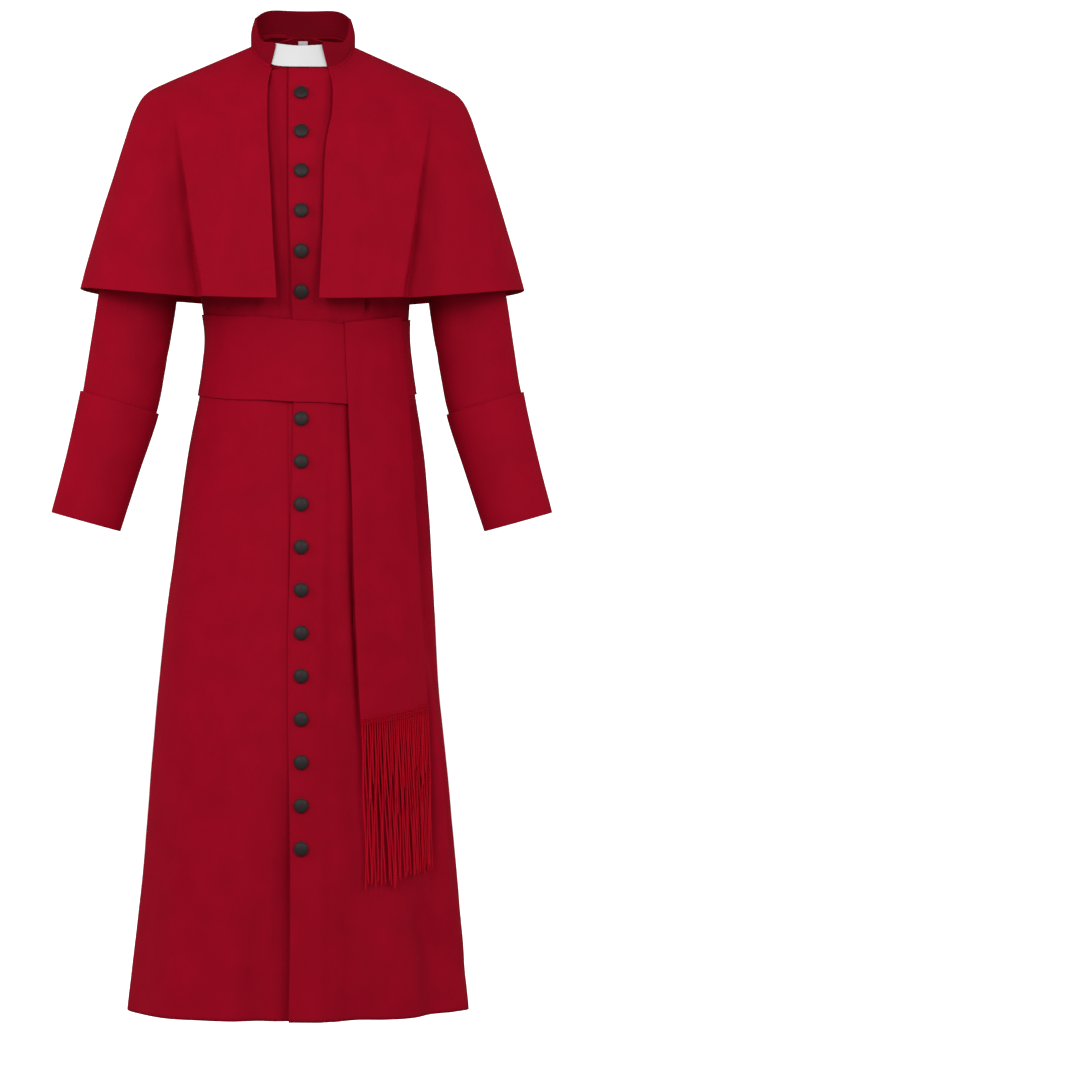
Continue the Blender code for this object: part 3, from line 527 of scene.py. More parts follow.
# ---------------------------------------------------------------- sizes and colours to change
def hex_colour(code):
    """A web colour as the linear colour that shaders and lights work in."""
    def linear(part):
        value = int(part, 16) / 255
        return value / 12.92 if value <= 0.04045 else ((value + 0.055) / 1.055) ** 2.4

    return tuple(linear(code[i:i + 2]) for i in (1, 3, 5))


def length(name, description, default, low=0.0):
    return FloatProperty(
        name=name, description=description, default=default * MM, min=low * MM, unit="LENGTH"
    )


def colour(name, description, code):
    return FloatVectorProperty(
        name=name, description=description, default=hex_colour(code), subtype="COLOR", size=3,
        min=0.0, max=1.0,
    )


class CassockSizes(bpy.types.PropertyGroup):
    """Sizes of the dressed pieces that leave the garment's own measurements as they are."""

    cloth: length("Cloth", "Thickness of the cloth's wall, turned edges included", 1.6, 0.5)
    collar: length("Collar", "Thickness of the stiffened collar", 3.0, 1.0)
    swell: length("Unevenness", "How far the hanging cloth strays from its plain form", 1.1)
    crease: FloatProperty(
        name="Creases", description="Depth of all creases, as a share of their own", default=1.0,
        min=0.0, max=2.0, subtype="FACTOR",
    )
    button: length("Button", "Diameter of a covered button", 21.2, 8.0)
    cord: length("Fringe cord", "Diameter of one twisted cord of the fringe", 2.35, 0.5)
    cords: IntProperty(
        name="Cords in a layer", description="How many cords hang side by side", default=33, min=8,
        max=80,
    )
    front_fringe: length("Upper fringe", "Length of the fringe's upper layer", 152.0, 20.0)
    back_fringe: length("Lower fringe", "Length of the fringe's lower layer", 246.0, 20.0)


class CassockColours(bpy.types.PropertyGroup):
    """Colours of the cassock's materials and of the stage."""

    cloth: colour("Cloth", "Deep red of the woven cloth", "#87051b")
    cord: colour("Fringe", "Red of the twisted cords", "#a5051b")
    white: colour("Collar tab", "White of the collar's tab and the label", "#c6c6c6")
    button: colour("Buttons", "Charcoal of the covered buttons", "#282222")
    floor: colour("Floor", "Pale studio floor and wall", "#f7f7f7")


def sizes():
    return bpy.context.scene.cassock_sizes


def colours():
    return bpy.context.scene.cassock_colours


# ---------------------------------------------------------------- small sums
def ease(share):
    """0 to 1 with a soft start and end, held outside that range."""
    t = min(1.0, max(0.0, share))
    return t * t * (3 - 2 * t)


def between(low, high, share):
    return low + (high - low) * share


def bell(off):
    """1 in the middle, 0 from one width away, with no corner between."""
    return (1 - off * off) ** 2 if abs(off) < 1 else 0.0


def through(before, first, second, after, share):
    """A value on the smooth curve through four evenly spaced ones, between the middle two."""
    bend = 2 * before - 5 * first + 4 * second - after
    twist = 3 * (first - second) + after - before
    return first + 0.5 * share * (second - before + share * (bend + share * twist))


def beyond(end, inner):
    """The row that would follow a table's end, as far from it as its inner neighbour."""
    return [2 * a - b for a, b in zip(end, inner)]


def smooth_row(rows, along):
    """A row of a table at a place along it, on a smooth curve through its rows."""
    last = len(rows) - 1
    first = min(max(int(along), 0), last - 1)
    low, high = rows[first], rows[first + 1]
    before = rows[first - 1] if first else beyond(low, high)
    after = rows[first + 2] if first + 2 <= last else beyond(high, low)
    values = zip(before, low, high, after)
    return type(low)(*(through(*four, along - first) for four in values))


def steps(low, high, step):
    """Even places from low to high, no further apart than a step."""
    count = max(1, round(abs(high - low) / step))
    return [between(low, high, i / count) for i in range(count + 1)]


def row_places(lengths, step):
    """Places along a table's rows, closer where the rows are further apart."""
    places = [0.0]
    for i, span in enumerate(lengths):
        count = max(1, round(span / step))
        places += [i + (k + 1) / count for k in range(count)]
    return places


def creased(creases, across, down):
    """How far the creases move the cloth outwards at this place."""
    moved = 0.0
    for crease in creases:
        dx, dz = across - crease.across, down - crease.down
        half = crease.length / 2
        if abs(dx) > half + crease.width or abs(dz) > half + crease.width:
            continue
        lean = radians(crease.lean)
        along = (dx * sin(lean) + dz * cos(lean)) / half
        if abs(along) >= 1:
            continue
        off = dx * cos(lean) - dz * sin(lean) - crease.bow * along * along
        moved += crease.depth * bell(along) * bell(off / crease.width)
    return moved * sizes().crease


def swell(place, share=1.0):
    """The cloth's gentle unevenness at a place in millimetres."""
    depth = sizes().swell / MM * share
    return sum(depth * s.share * noise.noise(place / s.length) for s in SWELLS)


def stitched(off):
    """A shallow line of stitching, off millimetres away."""
    return -STITCH_LINE_DEPTH * bell(off / STITCH_LINE_WIDTH)


# ---------------------------------------------------------------- materials
def add_node(material, kind, sockets=(), **settings):
    """Adds a shader node with its settings, and the values of its sockets by name."""
    node = material.node_tree.nodes.new(kind)
    for name, value in settings.items():
        setattr(node, name, value)
    for name, value in dict(sockets).items():
        node.inputs[name].default_value = value
    return node


def link(material, source, target):
    material.node_tree.links.new(source, target)


SHEEN_ROUGHNESS = 0.45
SHEEN_BRIGHTER = 2.4


def new_material(name, tint, roughness, specular, sheen=0.0):
    made = bpy.data.materials.new(name)
    made.use_nodes = True
    shader = made.node_tree.nodes["Principled BSDF"]
    finish = {
        "Base Color": (*tint, 1.0),
        "Roughness": roughness,
        "Specular IOR Level": specular,
        "Sheen Weight": sheen,
        "Sheen Roughness": SHEEN_ROUGHNESS,
        "Sheen Tint": shaded(tint, SHEEN_BRIGHTER),
    }
    for name, value in finish.items():
        shader.inputs[name].default_value = value
    made.diffuse_color = (*tint, 1.0)
    return made, shader


def shaded(tint, share):
    return (*(min(1.0, part * share) for part in tint), 1.0)


def tint_by(material, shader, pattern, tint, low, high, stops=(0.0, 1.0)):
    """Colours the surface by a pattern, from a darker to a lighter share of its tint."""
    ramp = add_node(material, "ShaderNodeValToRGB")
    for end, stop, share in zip(ramp.color_ramp.elements, stops, (low, high)):
        end.position = stop
        end.color = shaded(tint, share)
    link(material, pattern, ramp.inputs["Fac"])
    link(material, ramp.outputs["Color"], shader.inputs["Base Color"])


def raise_by(material, shader, height, distance, strength=1.0, under=None):
    """Raises the surface by a texture, over another bump where one is given."""
    bump = add_node(material, "ShaderNodeBump", {"Distance": distance, "Strength": strength})
    link(material, height, bump.inputs["Height"])
    if under:
        link(material, under.outputs["Normal"], bump.inputs["Normal"])
    link(material, bump.outputs["Normal"], shader.inputs["Normal"])
    return bump


# A share of the cloth's own brightness, for darker copies of it that paint shade: on the collar, and
# darker still inside the neck.
COLLAR_PAINTED_SHADE_SHARE = 0.68
NECK_PAINTED_SHADE_SHARE = 0.58
# In metres: a thread, the patches and slubs of the weave, and how high threads and slubs stand.
THREAD = 0.0009
PATCH = 0.045
SLUB = 0.006
THREAD_HEIGHT = 0.00005
SLUB_HEIGHT = 0.00012
WEAVE_STRENGTH = 0.6
# Blender's waves repeat this many times in one unit at a scale of 1.
WAVES_IN_UNIT = 20


def woven_cloth(name="woven red polyester", share=1.0):
    """Smooth matte polyester: its patches keep a large flat panel from looking like plastic."""
    material = bpy.data.materials.get(name)
    if material:
        return material
    # A share below 1 makes a darker copy of the cloth, which paints shade.
    tint = shaded(tuple(colours().cloth), share)[:3]
    material, shader = new_material(name, tint, roughness=0.70, specular=0.03, sheen=0.06)
    flat = add_node(material, "ShaderNodeUVMap", uv_map="weave")
    place = add_node(material, "ShaderNodeTexCoord").outputs["Object"]
    mottled = {"Scale": 1 / PATCH, "Detail": 3.0, "Roughness": 0.55}
    patches = add_node(material, "ShaderNodeTexNoise", mottled)
    link(material, place, patches.inputs["Vector"])
    mottling = patches.outputs["Fac"]
    tint_by(material, shader, mottling, tint, low=0.93, high=1.05, stops=(0.3, 0.7))
    # Threads of 0.9 mm are coarser than real ones, which would only flicker; they break up the gloss.
    threads = add_node(material, "ShaderNodeMath", operation="MULTIPLY")
    waved = {"Scale": 1 / (THREAD * WAVES_IN_UNIT), "Distortion": 0.6}
    for direction, socket in zip("XY", threads.inputs):
        wave = add_node(material, "ShaderNodeTexWave", waved, bands_direction=direction)
        link(material, flat.outputs["UV"], wave.inputs["Vector"])
        link(material, wave.outputs["Fac"], socket)
    raised = raise_by(material, shader, threads.outputs["Value"], THREAD_HEIGHT, WEAVE_STRENGTH)
    slubs = add_node(material, "ShaderNodeTexNoise", {"Scale": 1 / SLUB, "Detail": 2.0})
    link(material, place, slubs.inputs["Vector"])
    raise_by(material, shader, slubs.outputs["Fac"], SLUB_HEIGHT, WEAVE_STRENGTH, under=raised)
    return material


def collar_cloth_painted_shade():
    """The same cloth over stiffening, darkened as painted shade where the collar's sides turn away from
    the light.
    """
    return woven_cloth("collar cloth darkened as painted shade", COLLAR_PAINTED_SHADE_SHARE)


def neck_inside_painted_shade():
    """A deeper red that paints the shade inside the collar and the back neck, so that the hollow of the
    neck stays dark.
    """
    return woven_cloth("deep red painted shade inside the neck", NECK_PAINTED_SHADE_SHARE)


PLY_HEIGHT = 0.0003


def twisted_cord():
    """Rayon cord: its slanting ply pattern is painted lighter as highlight and darker in its gaps as
    shade, over a bump of the same pattern.
    """
    material = bpy.data.materials.get("twisted red rayon with painted ply light and shade")
    if material:
        return material
    tint = tuple(colours().cord)
    material, shader = new_material(
        "twisted red rayon with painted ply light and shade", tint, roughness=0.45, specular=0.04, sheen=0.03
    )
    flat = add_node(material, "ShaderNodeUVMap", uv_map="weave")
    slanting = {"Scale": 0.2, "Distortion": 0.3}
    ply_bump_and_painted_light = add_node(material, "ShaderNodeTexWave", slanting, bands_direction="DIAGONAL")
    link(material, flat.outputs["UV"], ply_bump_and_painted_light.inputs["Vector"])
    # Painted highlight on each turn of ply and painted shade in the gaps between them.
    tint_by(material, shader, ply_bump_and_painted_light.outputs["Fac"], tint, low=0.6, high=1.35)
    raise_by(material, shader, ply_bump_and_painted_light.outputs["Fac"], PLY_HEIGHT)
    return material


def white_stock():
    """White satin-finished stock: a low even gloss, with no pattern."""
    material = bpy.data.materials.get("white collar stock")
    if material:
        return material
    white = tuple(colours().white)
    return new_material("white collar stock", white, roughness=0.45, specular=0.35)[0]


GRAIN_HEIGHT = 0.0001


def covered_button():
    """Charcoal cloth stretched over a dome: a fine grain that spreads its highlight."""
    material = bpy.data.materials.get("charcoal button cover")
    if material:
        return material
    tint = tuple(colours().button)
    material, shader = new_material("charcoal button cover", tint, roughness=0.48, specular=0.20)
    place = add_node(material, "ShaderNodeTexCoord")
    grain = add_node(material, "ShaderNodeTexNoise", {"Scale": 1 / THREAD, "Detail": 1.0})
    link(material, place.outputs["Object"], grain.inputs["Vector"])
    raise_by(material, shader, grain.outputs["Fac"], GRAIN_HEIGHT, strength=0.5)
    return material


# ---------------------------------------------------------------- sheets
def lay_sheet(columns, rows, point, closed=False, turned=False):
    """A bmesh grid laid on the surface point(column, row), with its flat pattern as its UV map."""
    shape = bmesh.new()
    last_column, last_row = len(columns) - 1, len(rows) - 1
    bmesh.ops.create_grid(shape, x_segments=last_column, y_segments=last_row, size=1.0)
    shape.verts.ensure_lookup_table()
    laid = {}
    for vert in shape.verts:
        i = round((vert.co.x + 1) / 2 * last_column)
        j = round((vert.co.y + 1) / 2 * last_row)
        laid[i, j] = vert
    for (i, j), vert in laid.items():
        vert.co = point(columns[i], rows[j])
    flat = {}
    for j in range(last_row + 1):
        across = 0.0
        for i in range(last_column + 1):
            here = laid[i, j]
            if i:
                across += (here.co - laid[i - 1, j].co).length
            down = flat[laid[i, j - 1]][1] + (here.co - laid[i, j - 1].co).length if j else 0.0
            flat[here] = (across, down)
    pattern = shape.loops.layers.uv.new("weave")
    for face in shape.faces:
        for loop in face.loops:
            across, down = flat[loop.vert]
            loop[pattern].uv = (across * MM, down * MM)
    if closed:
        bmesh.ops.remove_doubles(shape, verts=shape.verts, dist=WELD)
    if turned:
        bmesh.ops.reverse_faces(shape, faces=shape.faces)
    return shape


def add_shape(shape, other):
    """Moves the whole of another bmesh into a shape."""
    mesh = bpy.data.meshes.new("added shape")
    other.to_mesh(mesh)
    other.free()
    shape.from_mesh(mesh)
    bpy.data.meshes.remove(mesh)


def new_thing(name, shape, material):
    """Turns a bmesh into a named object in the scene."""
    mesh = bpy.data.meshes.new(name)
    shape.to_mesh(mesh)
    shape.free()
    mesh.materials.append(material)
    thing = bpy.data.objects.new(name, mesh)
    bpy.context.scene.collection.objects.link(thing)
    return thing


def put_in_scene(name, shape, material):
    """Turns a piece's bmesh in millimetres into a smooth, named object in metres."""
    bmesh.ops.scale(shape, vec=(MM, MM, MM), verts=shape.verts)
    thing = new_thing(name, shape, material)
    thing.data.shade_smooth()
    thing.data.set_sharp_from_angle(angle=radians(SMOOTH_BELOW))
    return thing


def thicken(thing, thickness, rounding=0.0, inner_painted_shade=None, rim_painted_shade=0):
    """Gives a sheet its thickness inwards, and rounds its edges as a turned edge is.

    The rounding is in millimetres, and the thickness in metres.
    """
    solid = thing.modifiers.new("cloth thickness", "SOLIDIFY")
    solid.thickness = thickness
    solid.offset = -1
    solid.use_quality_normals = True
    # The inner faces, and the rims where asked, take a darker copy of the cloth that paints shade.
    if inner_painted_shade:
        thing.data.materials.append(inner_painted_shade)
        solid.material_offset = 1
        solid.material_offset_rim = rim_painted_shade
    if rounding:
        edge = thing.modifiers.new("turned edge", "BEVEL")
        edge.width = rounding * MM
        edge.segments = 2
        edge.limit_method = "ANGLE"
        edge.angle_limit = radians(BEVEL_ABOVE)
    return thing


def place_piece(thing, node):
    """Puts a piece on the one body, in the place of its node."""
    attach(thing, "root")
    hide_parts(node)


# ---------------------------------------------------------------- the body's surface
def row_point(row, angle, out=0.0, side=1):
    """A point of a row: angle 0 is the middle of the body and 90 its side."""
    turn = radians(angle)
    start = asin(max(0.0, row.start_x) / row.side_x)
    apex_y = (row.start_y - row.side_y * (1 - cos(start))) / cos(start)
    fall_to_start = abs(sin(start)) ** row.bend
    apex_z = (row.start_z - row.side_z * fall_to_start) / (1 - fall_to_start)
    depth = apex_y - row.side_y
    forward = -1 if depth < 0 else 1
    facing = Vector((abs(depth) * sin(turn), forward * row.side_x * cos(turn), 0)).normalized()
    place = Vector((
        row.side_x * sin(turn),
        row.side_y + depth * cos(turn),
        between(apex_z, row.side_z, abs(sin(turn)) ** row.bend),
    ))
    place += facing * out
    return Vector((side * place.x + row.shift, place.y, place.z))


def ring_row(ring, behind):
    """The front or back half of a level ring, as a row."""
    depth = ring.back if behind else -ring.front
    return Row(0, depth, ring.z, ring.half_width, SIDE_Y, ring.z, 2.0, ring.shift)


FRONT_ROWS = BODICE_FRONT + [ring_row(ring, False) for ring in BODY]
BACK_ROWS = BODICE_BACK + [ring_row(ring, True) for ring in BODY]
HEM = BODY[-1]
WAIST = BODY[3]


def row_spans(rows):
    """How far apart a panel's rows lie at their middle or side, whichever is more."""
    return [
        max(abs(a.start_z - b.start_z), abs(a.side_z - b.side_z)) for a, b in zip(rows, rows[1:])
    ]


def fold_reach(angle, z):
    """How far the skirt's folds stand out from its plain form at this place."""
    reach = 0.0
    for fold in SKIRT_FOLDS:
        down = (fold.start_z - z) / (fold.start_z - HEM.z)
        if down <= 0:
            continue
        middle = between(fold.start_angle, fold.hem_angle, down)
        off = abs((angle - middle + 180) % 360 - 180) / fold.width
        reach += fold.depth * ease(down) * (1 - ease(off))
    return reach


def smooth_ring(z):
    """The level ring of the body at a height, on a smooth curve through its rings."""
    below = next((i for i, ring in enumerate(BODY) if ring.z <= z), len(BODY) - 1)
    below = max(below, 1)
    upper, lower = BODY[below - 1], BODY[below]
    share = (z - upper.z) / (lower.z - upper.z)
    ring = smooth_row(BODY, below - 1 + share)
    return ring._replace(z=z)


def body_point(angle, z, out=0.0):
    """A point of the body at a height, round from the front middle towards +X."""
    angle = (angle + 180) % 360 - 180
    side = 1 if angle >= 0 else -1
    behind = abs(angle) > 90
    local = 180 - abs(angle) if behind else abs(angle)
    return row_point(ring_row(smooth_ring(z), behind), local, out + fold_reach(angle, z), side)


def body_angle(x, z, out=0.0):
    """The angle round the front of the body at which its surface stands at x."""
    ring = smooth_ring(z)
    return degrees(asin((x - ring.shift) / (ring.half_width + out)))


def lap(x):
    """How far the lapping front stands over the front beneath it, at x from the middle."""
    return LAP_LIFT * (1 - ease((x - LAP_FLAT_TO) / (LAP_FADES_BY - LAP_FLAT_TO)))


SASH_CALM_TOP = -398.0
SASH_CALM_BOTTOM = -535.0
SASH_CREASE_FADE = 8.0
CALM_FADE = 24.0
BUTTON_CALM = 16.0
BUTTON_CALM_FADE = 26.0
BUTTON_CALM_SHARE = 0.25


def liveliness(x, z):
    """1 where cloth hangs free, 0 where the sash or the buttons hold it flat."""
    outside = max(z - SASH_CALM_TOP, SASH_CALM_BOTTOM - z)
    beside = abs(x) - BUTTON_CALM
    by_buttons = between(BUTTON_CALM_SHARE, 1.0, ease(beside / BUTTON_CALM_FADE))
    return ease(outside / CALM_FADE) * by_buttons


def front_angle(row, along, column, edge):
    """The angle of a front's column: 0 to 1 spans the button stand, 1 to 2 the panel to its side seam."""
    start = degrees(asin(max(0.0, row.start_x) / row.side_x))
    under_cape = between(start, 90, column / 2)
    if column < 1:
        hanging = degrees(asin(between(-edge, LAP_FADES_BY, column) / row.side_x))
    else:
        hanging = between(degrees(asin(LAP_FADES_BY / row.side_x)), 90, column - 1)
    return between(under_cape, hanging, min(1.0, max(0.0, along - NECK_ROW + 1)))


def neck_tuck(x, along):
    """How far the fronts draw in below the neckline, where the collar and the tab lie over them."""
    shown = NECK_TUCK * ease((along - NECK_TUCK_FIRST_ROW) / NECK_TUCK_ROWS_IN)
    shown *= ease((NECK_ROW + NECK_TUCK_ROWS_OUT - along) / NECK_TUCK_ROWS_OUT)
    shown *= 1 - ease((abs(x) - NECK_TUCK_TO) / NECK_TUCK_FADES)
    hidden = CAPE_TUCK * ease((along - CAPE_TUCK_FIRST_ROW) / CAPE_TUCK_ROWS_IN)
    hidden *= ease((NECK_ROW + CAPE_TUCK_ROWS_OUT - along) / CAPE_TUCK_ROWS_OUT)
    hidden *= ease((abs(x) - CAPE_TUCK_FROM) / CAPE_TUCK_GROWS)
    hidden *= 1 - ease((abs(x) - CAPE_TUCK_TO) / CAPE_TUCK_FADES)
    return shown + hidden


# Creases fade out this many degrees before a side seam.
SEAM_CALM = 6.0


def seam_calm(angle):
    """1 across a panel and 0 at its side seam, so that the two sides of the seam stay together."""
    return ease((90 - angle) / SEAM_CALM)


def seam_setback(along):
    """How far a panel's row stands back from the line of its seam."""
    return SEAM_GAP / 2 + SHOULDER_SETBACK * max(0.0, 1 - along)


def front_point(side, column, along):
    """A point of the left front (side 1), which laps over, or of the right one (side -1)."""
    row = smooth_row(FRONT_ROWS, along)
    down = max(0.0, along - NECK_ROW) / (len(FRONT_ROWS) - 1 - NECK_ROW)
    slanted = ease((down - PLACKET_SLANTS_FROM) / (1 - PLACKET_SLANTS_FROM))
    tops = (PLACKET_EDGE_TOP, PLACKET_EDGE_HEM) if side > 0 else (UNDERLAP_TOP, UNDERLAP)
    edge = between(*tops, slanted)
    angle = front_angle(row, along, column, edge)
    x = row.side_x * sin(radians(angle))
    plain = row_point(row, angle, 0.0, side)
    out = (lap(x) if side > 0 else 0.0) - neck_tuck(x, along)
    out += fold_reach(side * angle, plain.z) if along >= len(BODICE_FRONT) else 0.0
    live = liveliness(plain.x, plain.z)
    out += live * swell(plain)
    past_sash = max(plain.z - SASH_CALM_TOP, SASH_CALM_BOTTOM - plain.z)
    calm = ease(past_sash / SASH_CREASE_FADE + 1) * seam_calm(angle)
    out += creased(FRONT_CREASES, plain.x, plain.z) * calm
    if side > 0 and along > NECK_ROW:
        out += stitched(x + edge - PLACKET_STITCH)
    if side < 0:
        lapped = between(PLACKET_EDGE_TOP, PLACKET_EDGE_HEM, slanted)
        out += stitched(plain.x - PLACKET_SHADOW_LINE)
        out -= PLACKET_GROOVE * bell((plain.x + lapped + PLACKET_GROOVE_OFF) / PLACKET_GROOVE_WIDTH)
        fallen = ease((PLACKET_TROUGH_FROM - plain.z) / PLACKET_TROUGH_GROWS)
        out -= PLACKET_TROUGH * fallen * bell((plain.x + lapped) / PLACKET_TROUGH_WIDTH)
    place = row_point(row, angle, out, side)
    place.y -= seam_setback(along)
    return place


def back_point(side, column, along):
    """A point of one half of the back, columns from its middle or neckline out to the side seam."""
    row = smooth_row(BACK_ROWS, along)
    start = degrees(asin(max(0.0, row.start_x) / row.side_x))
    angle = between(start if along < NECK_ROW else 0.0, 90, column)
    plain = row_point(row, angle, 0.0, side)
    out = fold_reach(side * (180 - angle), plain.z) if along >= len(BODICE_BACK) else 0.0
    out += liveliness(BUTTON_CALM + BUTTON_CALM_FADE, plain.z) * swell(plain)
    deeper = 1 + BACK_SKIRT_DEEPER * ease((BACK_DEEPENS_FROM - plain.z) / BACK_DEEPENS_OVER)
    out += creased(BACK_CREASES, plain.x, plain.z) * deeper * seam_calm(angle)
    place = row_point(row, angle, out, side)
    place.y += seam_setback(along)
    return place


def make_front(name, side):
    """One front: its columns lie closer over the button stand than over the rest of the panel."""
    columns = steps(0, 1, PLACKET_STEP / (PLACKET_EDGE_TOP + LAP_FADES_BY))
    columns += steps(1, 2, PANEL_STEP / HEM.half_width)[1:]
    rows = row_places(row_spans(FRONT_ROWS), ROW_STEP)
    shape = lay_sheet(columns, rows, lambda c, r: front_point(side, c, r), turned=side > 0)
    return thicken(put_in_scene(f"{name}.cloth", shape, woven_cloth()), sizes().cloth)


def make_back():
    """Two halves, welded where they meet below the neckline, and painted darker inside the neck as shade.
    """
    columns = steps(0, 1, PANEL_STEP / HEM.half_width)
    rows = row_places(row_spans(BACK_ROWS), ROW_STEP)
    shape, right_half = (
        lay_sheet(columns, rows, lambda c, r, s=side: back_point(s, c, r), turned=side < 0)
        for side in (1, -1)
    )
    add_shape(shape, right_half)
    bmesh.ops.remove_doubles(shape, verts=shape.verts, dist=WELD_HALVES)
    # Faces high in the back neck take the painted shade on their inside.
    for face in shape.faces:
        place = face.calc_center_median()
        if place.z > PAINTED_NECK_SHADE_DOWN_TO and abs(place.x) < PAINTED_NECK_SHADE_HALF_WIDTH:
            face.material_index = 1
    # The second finish is the darkened part's outside, so that only its inside takes the painted shade.
    thing = put_in_scene("back.cloth", shape, woven_cloth())
    thing.data.materials.append(woven_cloth())
    thicken(thing, sizes().cloth, inner_painted_shade=neck_inside_painted_shade(), rim_painted_shade=1)
    return thing


# ---------------------------------------------------------------- sleeves and cuffs
def armhole_rows():
    """The rows whose ends make the armhole, round from the shoulder by the front and the underarm."""
    under = Row(0, 0, 0, BODY[0].half_width, SIDE_Y, BODY[0].z, 2.0, BODY[0].shift)
    front = [*BODICE_FRONT, under]
    back = [under, *BODICE_BACK[:0:-1]]
    return front + back[1:]


def armhole_table():
    """The armhole's points with their turn round the sleeve, from the shoulder by the front."""
    rows = armhole_rows()
    points = [Vector((row.side_x, row.side_y, row.side_z)) for row in rows]
    shifts = [row.shift for row in rows]
    top, bottom = points[0].z, BODY[0].z
    middle = Vector((0, SIDE_Y, (top + bottom) / 2))
    half_height = (top - bottom) / 2
    half_depth = max(abs(point.y - middle.y) for point in points)
    turns = []
    for point in points:
        turn = atan2((middle.y - point.y) / half_depth, (point.z - middle.z) / half_height)
        turns.append(turn % (2 * pi))
    turns[0] = 0.0
    return turns, points, shifts


ARMHOLE_TURNS, ARMHOLE_POINTS, ARMHOLE_SHIFTS = armhole_table()
# Two turns this close, in radians, are one.
SAME_TURN = 1e-9


def armhole_point(turn, side):
    """The armhole's own edge at a turn round the sleeve."""
    turn = turn % (2 * pi)
    count = len(ARMHOLE_TURNS)
    first = max(i for i in range(count) if ARMHOLE_TURNS[i] <= turn + SAME_TURN)
    second = (first + 1) % count
    end = ARMHOLE_TURNS[second] if second else 2 * pi
    share = (turn - ARMHOLE_TURNS[first]) / (end - ARMHOLE_TURNS[first])
    low, high = ARMHOLE_POINTS[first], ARMHOLE_POINTS[second]
    before, after = ARMHOLE_POINTS[first - 1], ARMHOLE_POINTS[(second + 1) % count]
    place = Vector([through(*values, share) for values in zip(before, low, high, after)])
    shift = between(ARMHOLE_SHIFTS[first], ARMHOLE_SHIFTS[second], share)
    return Vector((side * (place.x + ARMHOLE_GAP) + shift, place.y, place.z))


def section_point(section, turn, out, side):
    """A point of a sleeve's section: turn is 0 at its outer line and grows by the front."""
    lean = radians(section.lean)
    outwards = Vector((sin(lean), 0, cos(lean)))
    across = outwards * (section.half_width + out) * cos(turn)
    forwards = Vector((0, -(section.half_depth + out) * sin(turn), 0))
    place = Vector((section.x, section.y, section.z)) + across + forwards
    return Vector((side * place.x, place.y, place.z))


def sleeve_relief(section, turn, side, place):
    """Creases and unevenness of a sleeve. A right sleeve's lie a little apart from a left one's."""
    girth = (section.half_width + section.half_depth) * pi / 2
    round_it = turn / pi * girth
    offset = 0 if side > 0 else SLEEVES_APART
    return creased(SLEEVE_CREASES, round_it + offset, place.z + offset) + swell(place)


def sleeve_point(side, turn, along):
    """A point of the sleeve: along is 0 at the armhole, 1 at its first section, and so on down."""
    if along <= 1:
        first = section_point(SLEEVE[0], turn, 0.0, side)
        return armhole_point(turn, side).lerp(first, along)
    section = smooth_row(SLEEVE, along - 1)
    plain = section_point(section, turn, 0.0, side)
    cuffed = ease((along - 1 - CUFF_TOP_SECTION) / SLEEVE_CALM_ROWS + 1)
    out = sleeve_relief(section, turn, side, plain) * (1 - cuffed) * ease(along - 1)
    return section_point(section, turn, out, side)


def cuff_point(side, turn, drop):
    """A point of the cuff: drop is 0 at its free upper edge and 1 at the fold at its foot.

    Past 1 the cloth turns in round the sleeve's end.
    """
    share = min(drop, 1.0)
    section = smooth_row(SLEEVE, between(CUFF_TOP_SECTION, len(SLEEVE) - 1, share))
    lean = radians(section.lean)
    downwards = Vector((side * cos(lean), 0, -sin(lean)))
    plain = section_point(section, turn, 0.0, side)
    lift = sizes().cloth / MM + LAYER_GAP + CUFF_TOP_FLARE * (1 - ease(2 * share))
    free = ease(share / CUFF_CALM_SHARE) * ease((1 - share) / CUFF_CALM_SHARE)
    lift += CUFF_SWELL * max(CUFF_DEEPEST_SWELL, swell(plain)) * free
    lift += stitched(share * CUFF_DEPTH - CUFF_STITCH)
    turned_in = (max(drop, 1.0) - 1) * pi
    lift -= CUFF_FOLD / 2 * (1 - cos(turned_in))
    place = section_point(section, turn, lift, side)
    foot = CUFF_END * ease((share - CUFF_END_FROM) / (1 - CUFF_END_FROM))
    return place + downwards * (foot + CUFF_FOLD / 2 * sin(turned_in))


def make_sleeve(name, side):
    """One sleeve: a closed sheet from the armhole's edge down to the wrist."""
    columns = steps(0, 2 * pi, SLEEVE_STEP / SLEEVE[MIDDLE_SECTION].half_width)
    centres = [Vector((section.x, section.y, section.z)) for section in SLEEVE]
    spans = [ARMHOLE_SPAN] + [(a - b).length for a, b in zip(centres, centres[1:])]
    rows = row_places(spans, SLEEVE_STEP)
    shape = lay_sheet(
        columns, rows, lambda c, r: sleeve_point(side, c, r), closed=True, turned=side < 0
    )
    return thicken(put_in_scene(f"{name}.cloth", shape, woven_cloth()), sizes().cloth)


def make_cuff(name, side):
    """One turned-back cuff: a closed sheet over the sleeve's foot that turns in round its end."""
    columns = steps(0, 2 * pi, SLEEVE_STEP / SLEEVE[-1].half_width)
    rows = steps(0, 1, CUFF_ROW_SHARE) + steps(1, 2, 1 / CUFF_FOLD_ROWS)[1:]
    shape = lay_sheet(
        columns, rows, lambda c, r: cuff_point(side, c, r), closed=True, turned=side < 0
    )
    return thicken(put_in_scene(f"{name}.cloth", shape, woven_cloth()), sizes().cloth * CUFF_CLOTH_SHARE)


